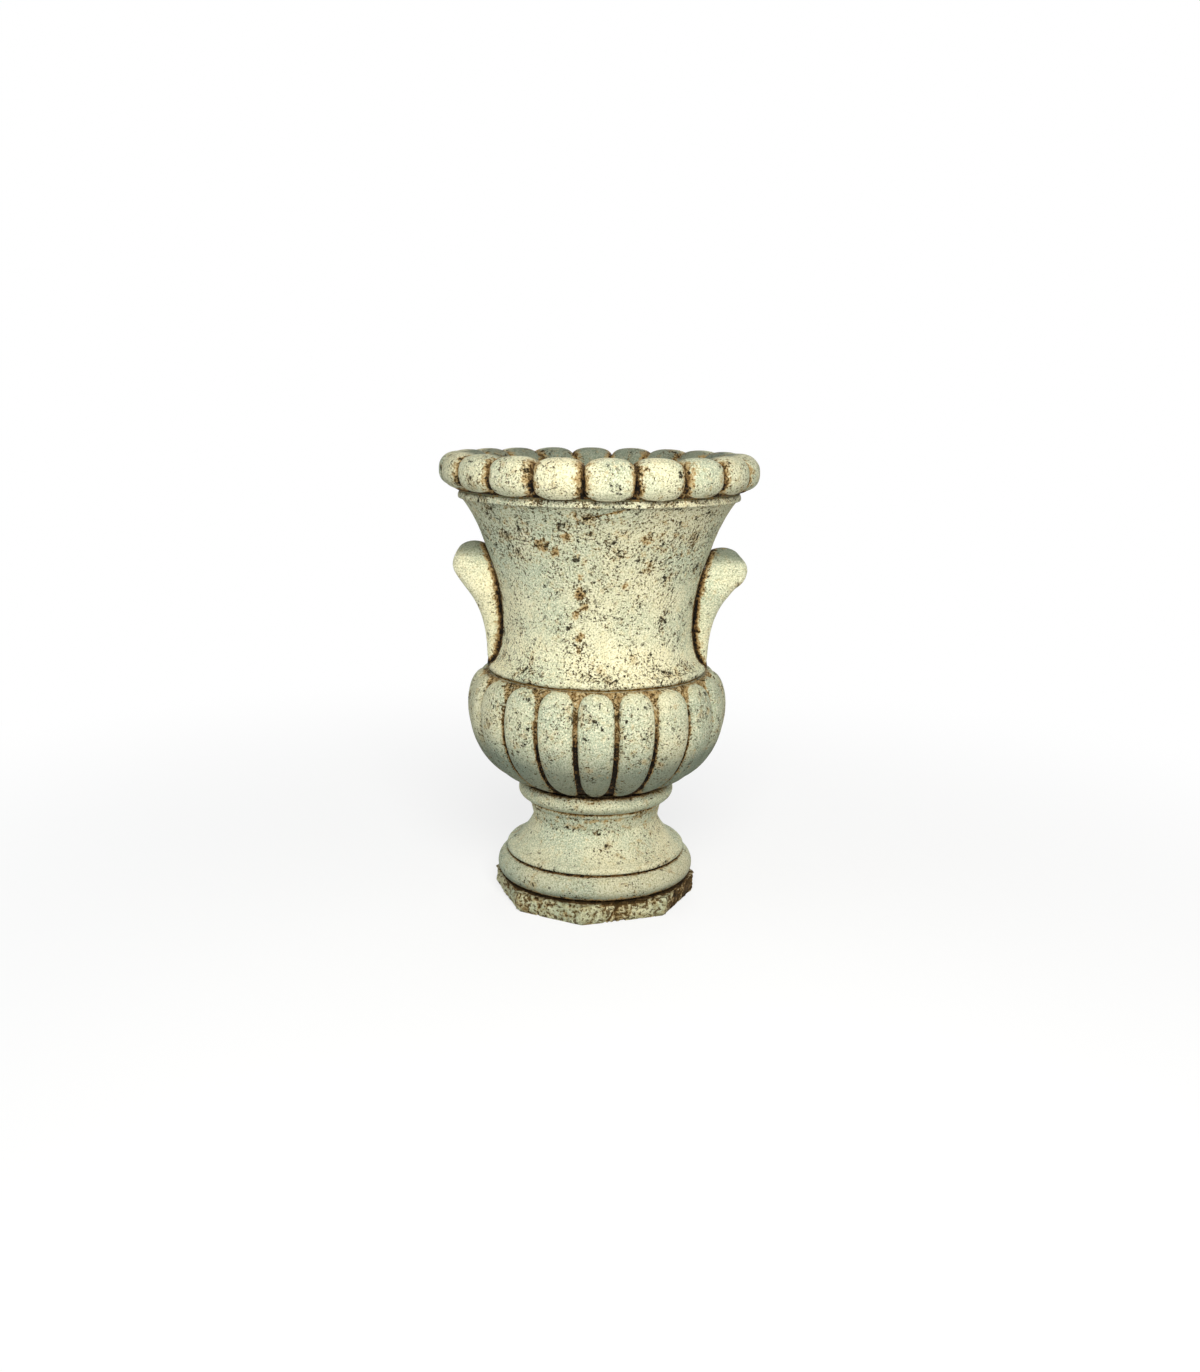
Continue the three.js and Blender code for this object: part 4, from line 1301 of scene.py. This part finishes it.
def handle_mesh(context, side):
    """One horseshoe loop whose inner side follows the bell's face."""
    s = context.scene.urn_handles
    face = BellFace(context)
    leg = handle_stations(s, face, 40, side)
    loop = [(z, -y, reach, width) for z, y, reach, width in leg] + leg[-2::-1]
    inners = [math.sqrt(face.radius(z) ** 2 - y * y) - s.bury for z, y, reach, width in loop]
    middles = [
        Vector(((reach + inner) / 2, y, z)) for (z, y, reach, width), inner in zip(loop, inners)
    ]
    mesh = new_body()
    bare = notes(mesh)[0]
    rings = []
    for i, (level, offset, reach, width) in enumerate(loop):
        before, after = middles[max(0, i - 1)], middles[min(len(middles) - 1, i + 1)]
        tangent = (after - before).normalized()
        outward = (Vector((1, 0, 0)) - tangent * tangent.x).normalized()
        sideways = tangent.cross(outward)
        axes = (outward * ((reach - inners[i]) / 2), sideways * width / 2, tangent, middles[i])
        matrix = Matrix.Identity(4)
        for column, vector in enumerate(axes):
            matrix.col[column][:3] = vector
        made = bmesh.ops.create_circle(
            mesh, cap_ends=False, radius=1.0, segments=44, matrix=matrix
        )
        rings.append(made["verts"])
    edges = []
    for ring in rings:
        members = set(ring)
        around_ring = {e for v in ring for e in v.link_edges}
        edges.append([e for e in around_ring if set(e.verts) <= members])
    for first, second in zip(edges, edges[1:]):
        bmesh.ops.bridge_loops(mesh, edges=first + second)
    bmesh.ops.holes_fill(mesh, edges=[e for e in mesh.edges if e.is_boundary], sides=0)
    for vert in mesh.verts:
        vert[bare] = 1.0
        radius = radius_of(vert.co)
        wanted = face.radius(vert.co.z) + s.clearance
        if radius < wanted:
            vert.co.x *= wanted / radius
            vert.co.y *= wanted / radius
            vert[bare] = 0.0
    bmesh.ops.recalc_face_normals(mesh, faces=mesh.faces)
    if side < 0:
        bmesh.ops.rotate(mesh, verts=mesh.verts, matrix=Matrix.Rotation(math.pi, 3, "Z"))
    return mesh, face


def build_handles(context):
    """Both handles, and the line where they meet the bell."""
    HANDLE_CONTACT.clear()
    for side, name in ((-1, "handle_left"), (1, "handle_right")):
        mesh, face = handle_mesh(context, side)
        bare = notes(mesh)[0]
        for vert in mesh.verts:
            if vert[bare] == 0.0 and any(e.other_vert(vert)[bare] > 0 for e in vert.link_edges):
                HANDLE_CONTACT.append(vert.co.copy())

        def stain_and_shade(point, normal):
            # Grey-green painted shade on the crown's top and on faces turned down; the stain along the
            # bell is patina with painted shade, darker lower down.
            crown = eased_step(0.1, 0.14, point.z - face.low)
            wet_and_shade = 0.85 * crown * eased_step(0.5, 0.85, normal.z) + 0.3 * eased_step(0, -0.8, normal.z)
            gap = radius_of(point) - face.radius(point.z)
            return (1.1 - 0.35 * crown) * fade(gap, 7 * MM) + 0.02, wet_and_shade

        weather(mesh, 21 + side, stain_and_shade, lumps=0.9)
        if side < 0:
            chip(mesh, LEFT_CHIP, 5 * MM, 1.8 * MM)
        material = cast_stone(f"Handle stone {'left' if side < 0 else 'right'}", 0.3)
        placed(mesh, name + "_loop", name, material)


# --- Mortar beds ---------------------------------------------------------------------------------

BEDS = (  # each (node, how clean, how many millimetres it bulges)
    ("plinth_mortar_bed", 0.0, 0.0),
    ("foot_mortar_bed", 0.0, 0.0),
    ("bowl_mortar_bed", 0.9, 2.8),
    ("rim_mortar_bed", 1.2, 2.8),
)
RAKE_DEPTH = 2.2 * MM


def build_mortar(context):
    """The four mortar beds, ragged where they were raked out."""
    for node, clean, fuller in BEDS:
        low, high = levels(node)
        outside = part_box(node)[1].x + fuller * MM
        inside = min(radius_of(v.co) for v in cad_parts[node].data.vertices)
        outer = worn(evened([(outside, low), (outside, high)], mesh_gap(0.3)), 1)
        inner = divided([outer[-1], (inside, high), (inside, low), outer[0]], 6 * MM)
        mesh = turned(outer, inner, SECTORS, 12)
        bare = notes(mesh)[0]
        for vert in mesh.verts:
            if radius_of(vert.co) > outside - 0.2 * MM:
                pull = 1 - RAKE_DEPTH * rugged(vert.co, 0.009, 3) / outside
                vert.co.x *= pull
                vert.co.y *= pull
            vert[bare] = 0.0
        material = bedding_mortar(node.replace("_bed", "").replace("_", " ").capitalize(), clean)
        placed(mesh, node.replace("_bed", "_joint"), node, material)


# --- Tie tube and its fittings -------------------------------------------------------------------


def ring_mesh(inside, outside, low, high, bevel):
    """A ring of rectangular section with softened edges."""
    mesh = new_body()
    corners = [(inside, low), (outside, low), (outside, high), (inside, high)]
    spin(mesh, half_section(mesh, corners), math.tau, 72, closed=True)
    bmesh.ops.recalc_face_normals(mesh, faces=mesh.faces)
    arrises = [e for e in mesh.edges if e.is_manifold and e.calc_face_angle(0) > math.radians(60)]
    bmesh.ops.bevel(
        mesh,
        geom=arrises,
        offset=bevel,
        offset_type="OFFSET",
        segments=2,
        profile=0.5,
        affect="EDGES",
        material=-1,
    )
    return mesh


def nut_mesh(bore, flats, low, high, chamfer):
    """A hexagon backnut with chamfered corners."""
    mesh = ring_mesh(bore, flats / 2 / math.cos(math.pi / 6), low, high, 0.3 * MM)
    for vert in mesh.verts:
        radius = radius_of(vert.co)
        if radius < bore + MM:
            continue
        degrees = azimuth(vert.co)
        side = (degrees + 30) % 60 - 30
        flat = flats / 2 / math.cos(math.radians(side))
        level = min(vert.co.z - low, high - vert.co.z)
        limit = flats / 2 + max(0.0, level - 0.2 * MM) / chamfer * 2.4 * MM
        vert.co = around(min(flat, limit, radius), degrees, vert.co.z)
    return mesh


def build_fixings(context):
    """The tie tube, backnuts, plate washers, rubber seal and handle pins."""
    s = context.scene.urn_fixings
    zinc = galvanised("Zinc")
    bore = s.tube_radius + s.thread_clearance
    low, high = levels("tie_tube")
    mesh = ring_mesh(s.tube_bore, s.tube_radius, low, high, 0.5 * MM)
    placed(mesh, "tie_tube_body", "tie_tube", zinc, 35)
    for node in ("lower_backnut", "upper_backnut"):
        low, high = levels(node)
        mesh = nut_mesh(bore, s.across_flats, low, high, s.nut_chamfer)
        placed(mesh, node + "_hexagon", node, zinc, 25)
    for node in ("lower_plate_washer", "upper_plate_washer"):
        low, high = levels(node)
        mesh = ring_mesh(bore, s.washer_radius, low, high, 0.4 * MM)
        placed(mesh, node + "_disc", node, zinc, 35)
    low, high = levels("rubber_seal")
    mesh = ring_mesh(bore, s.seal_radius, low, high, 0.8 * MM)
    placed(mesh, "rubber_seal_ring", "rubber_seal", seal_rubber("Rubber"), 35)
    pin = stainless("Pin steel")
    for name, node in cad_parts.items():
        if name.startswith("handle_dowel"):
            node.data.materials.clear()
            node.data.materials.append(pin)


# --- Studio --------------------------------------------------------------------------------------

WHITE = (1.0, 1.0, 1.0, 1.0)
FLOOR_RADIUS = 14.0
NEAR_WHITE, NEAR = 0.72, 0.25  # how white the floor looks round the urn, and how far that reaches
AIM, LOW_AIM = (0.0, 0.0, 0.33), (0.0, 0.0, 0.45)


def area_light(name, place, aim, width, power, tint):
    """A square soft light that points at a place."""
    data = bpy.data.lights.new(name, "AREA")
    data.size = width
    data.energy = power
    data.color = tint
    lamp = bpy.data.objects.new(name, data)
    lamp.location = place
    lamp.rotation_euler = (Vector(aim) - Vector(place)).to_track_quat("-Z", "Y").to_euler()
    bpy.context.scene.collection.objects.link(lamp)


def build_studio(context):
    """The pale floor, the soft lights, the white surround and the camera."""
    s = context.scene.urn_studio
    mesh = bmesh.new()
    bmesh.ops.create_circle(mesh, cap_ends=True, radius=FLOOR_RADIUS, segments=96)
    data = bpy.data.meshes.new("floor")
    mesh.to_mesh(data)
    mesh.free()
    floor = bpy.data.objects.new("floor", data)
    context.scene.collection.objects.link(floor)
    look = Shader("Studio floor")
    away = look.add("ShaderNodeVectorMath", {"operation": "LENGTH"}, {0: look.place}).outputs["Value"]
    plain = NEAR_WHITE + Value(look, away).rise(NEAR, s.floor) * (1 - NEAR_WHITE)
    matt = look.add(
        "ShaderNodeBsdfDiffuse", None, {"Color": (0.85, 0.85, 0.84, 1.0), "Roughness": 0.5}
    )
    white = look.add("ShaderNodeEmission", None, {"Color": WHITE, "Strength": 1.0})
    look.shown("ShaderNodeOutputMaterial", matt, white, look.seen() * plain)
    data.materials.append(look.owner)

    world = bpy.data.worlds.new("Studio surround")
    context.scene.world = world
    air = Shader(world.name, world)
    light = air.add(
        "ShaderNodeBackground", None, {"Color": (0.96, 0.98, 1.0, 1.0), "Strength": s.sky}
    )
    white = air.add("ShaderNodeBackground", None, {"Color": WHITE, "Strength": 1.0})
    air.shown("ShaderNodeOutputWorld", light, white, air.seen())

    area_light("key", (0.1, -1.45, 1.15), AIM, 0.8, s.key, (1.0, 0.985, 0.95))
    area_light("fill", (-1.9, -0.3, 0.4), AIM, 1.2, s.fill, (0.5, 0.78, 1.0))
    area_light("low", (1.7, -0.7, 0.12), LOW_AIM, 1.0, s.low, (1.0, 0.97, 0.85))
    area_light("back", (0.35, 1.6, 0.95), AIM, 1.0, s.back, (1.0, 1.0, 1.0))

    data = bpy.data.cameras.new("camera")
    data.sensor_fit = "AUTO"
    data.sensor_width = 36.0
    data.lens = s.lens
    data.clip_end = 60.0
    camera = bpy.data.objects.new("camera", data)
    camera.location = (s.camera_x, s.camera_y, s.camera_z)
    look_down = Matrix.Rotation(math.pi / 2 - s.pitch, 4, "X")
    camera.rotation_euler = (look_down @ Matrix.Rotation(s.roll, 4, "Z")).to_euler()
    context.scene.collection.objects.link(camera)
    context.scene.camera = camera
    context.scene.view_settings.view_transform = "Standard"


# --- Add-on --------------------------------------------------------------------------------------


class UrnOperator:
    """What all the urn's operators share."""

    bl_options = {"REGISTER", "UNDO"}


class URN_OT_handles(UrnOperator, bpy.types.Operator):
    """Draw the two loop handles on the bell's face"""

    bl_idname = "urn.handles"
    bl_label = "Handles"

    def execute(self, context):
        build_handles(context)
        return {"FINISHED"}


class URN_OT_plinth(UrnOperator, bpy.types.Operator):
    """Hew the rock-faced plinth"""

    bl_idname = "urn.plinth"
    bl_label = "Plinth"

    def execute(self, context):
        build_plinth(context)
        return {"FINISHED"}


class URN_OT_foot(UrnOperator, bpy.types.Operator):
    """Turn the foot with its mouldings"""

    bl_idname = "urn.foot"
    bl_label = "Foot"

    def execute(self, context):
        build_foot(context)
        return {"FINISHED"}


class URN_OT_bowl(UrnOperator, bpy.types.Operator):
    """Turn the bowl and draw its lobes"""

    bl_idname = "urn.bowl"
    bl_label = "Bowl"

    def execute(self, context):
        build_bowl(context)
        return {"FINISHED"}


class URN_OT_bell(UrnOperator, bpy.types.Operator):
    """Turn the flared bell"""

    bl_idname = "urn.bell"
    bl_label = "Bell"

    def execute(self, context):
        build_bell(context)
        return {"FINISHED"}


class URN_OT_rim(UrnOperator, bpy.types.Operator):
    """Turn the rim and draw its beads"""

    bl_idname = "urn.rim"
    bl_label = "Rim"

    def execute(self, context):
        build_rim(context)
        return {"FINISHED"}


class URN_OT_mortar(UrnOperator, bpy.types.Operator):
    """Lay the mortar beds between the castings"""

    bl_idname = "urn.mortar"
    bl_label = "Mortar beds"

    def execute(self, context):
        build_mortar(context)
        return {"FINISHED"}


class URN_OT_fixings(UrnOperator, bpy.types.Operator):
    """Fit the tie tube, its nuts, washers and seal, and the handle pins"""

    bl_idname = "urn.fixings"
    bl_label = "Fixings"

    def execute(self, context):
        build_fixings(context)
        return {"FINISHED"}


class URN_OT_studio(UrnOperator, bpy.types.Operator):
    """Set up the floor, lights, surround and camera"""

    bl_idname = "urn.studio"
    bl_label = "Studio"

    def execute(self, context):
        build_studio(context)
        return {"FINISHED"}


OPERATORS = (
    URN_OT_studio,
    URN_OT_handles,
    URN_OT_plinth,
    URN_OT_foot,
    URN_OT_bowl,
    URN_OT_bell,
    URN_OT_rim,
    URN_OT_mortar,
    URN_OT_fixings,
)

SETTINGS = {
    "urn_plinth": UrnPlinth,
    "urn_foot": UrnFoot,
    "urn_bowl": UrnBowl,
    "urn_bell": UrnBell,
    "urn_rim": UrnRim,
    "urn_handles": UrnHandles,
    "urn_fixings": UrnFixings,
    "urn_wear": UrnWear,
    "urn_colours": UrnColours,
    "urn_studio": UrnStudio,
}


class URN_PT_sidebar(bpy.types.Panel):
    """The urn's operators and settings"""

    bl_idname = "URN_PT_sidebar"
    bl_label = "Urn planter"
    bl_space_type = "VIEW_3D"
    bl_region_type = "UI"
    bl_category = "Urn"

    def draw(self, context):
        for operator in OPERATORS:
            self.layout.operator(operator.bl_idname)
        for name in SETTINGS:
            group = getattr(context.scene, name)
            box = self.layout.box()
            box.label(text=name.removeprefix("urn_").capitalize())
            for key in group.__annotations__:
                box.prop(group, key)


def register():
    """Adds the urn's settings, operators and panel."""
    for name, group in SETTINGS.items():
        bpy.utils.register_class(group)
        setattr(bpy.types.Scene, name, PointerProperty(type=group))
    for operator in OPERATORS:
        bpy.utils.register_class(operator)
    bpy.utils.register_class(URN_PT_sidebar)


def unregister():
    """Takes them out again, in the opposite order."""
    bpy.utils.unregister_class(URN_PT_sidebar)
    for operator in reversed(OPERATORS):
        bpy.utils.unregister_class(operator)
    for name, group in reversed(SETTINGS.items()):
        delattr(bpy.types.Scene, name)
        bpy.utils.unregister_class(group)


def main():
    """Builds the urn in its studio."""
    register()
    bpy.ops.urn.studio()
    bpy.ops.urn.handles()
    bpy.ops.urn.plinth()
    bpy.ops.urn.foot()
    bpy.ops.urn.bowl()
    bpy.ops.urn.bell()
    bpy.ops.urn.rim()
    bpy.ops.urn.mortar()
    bpy.ops.urn.fixings()


if __name__ == "__main__":
    main()
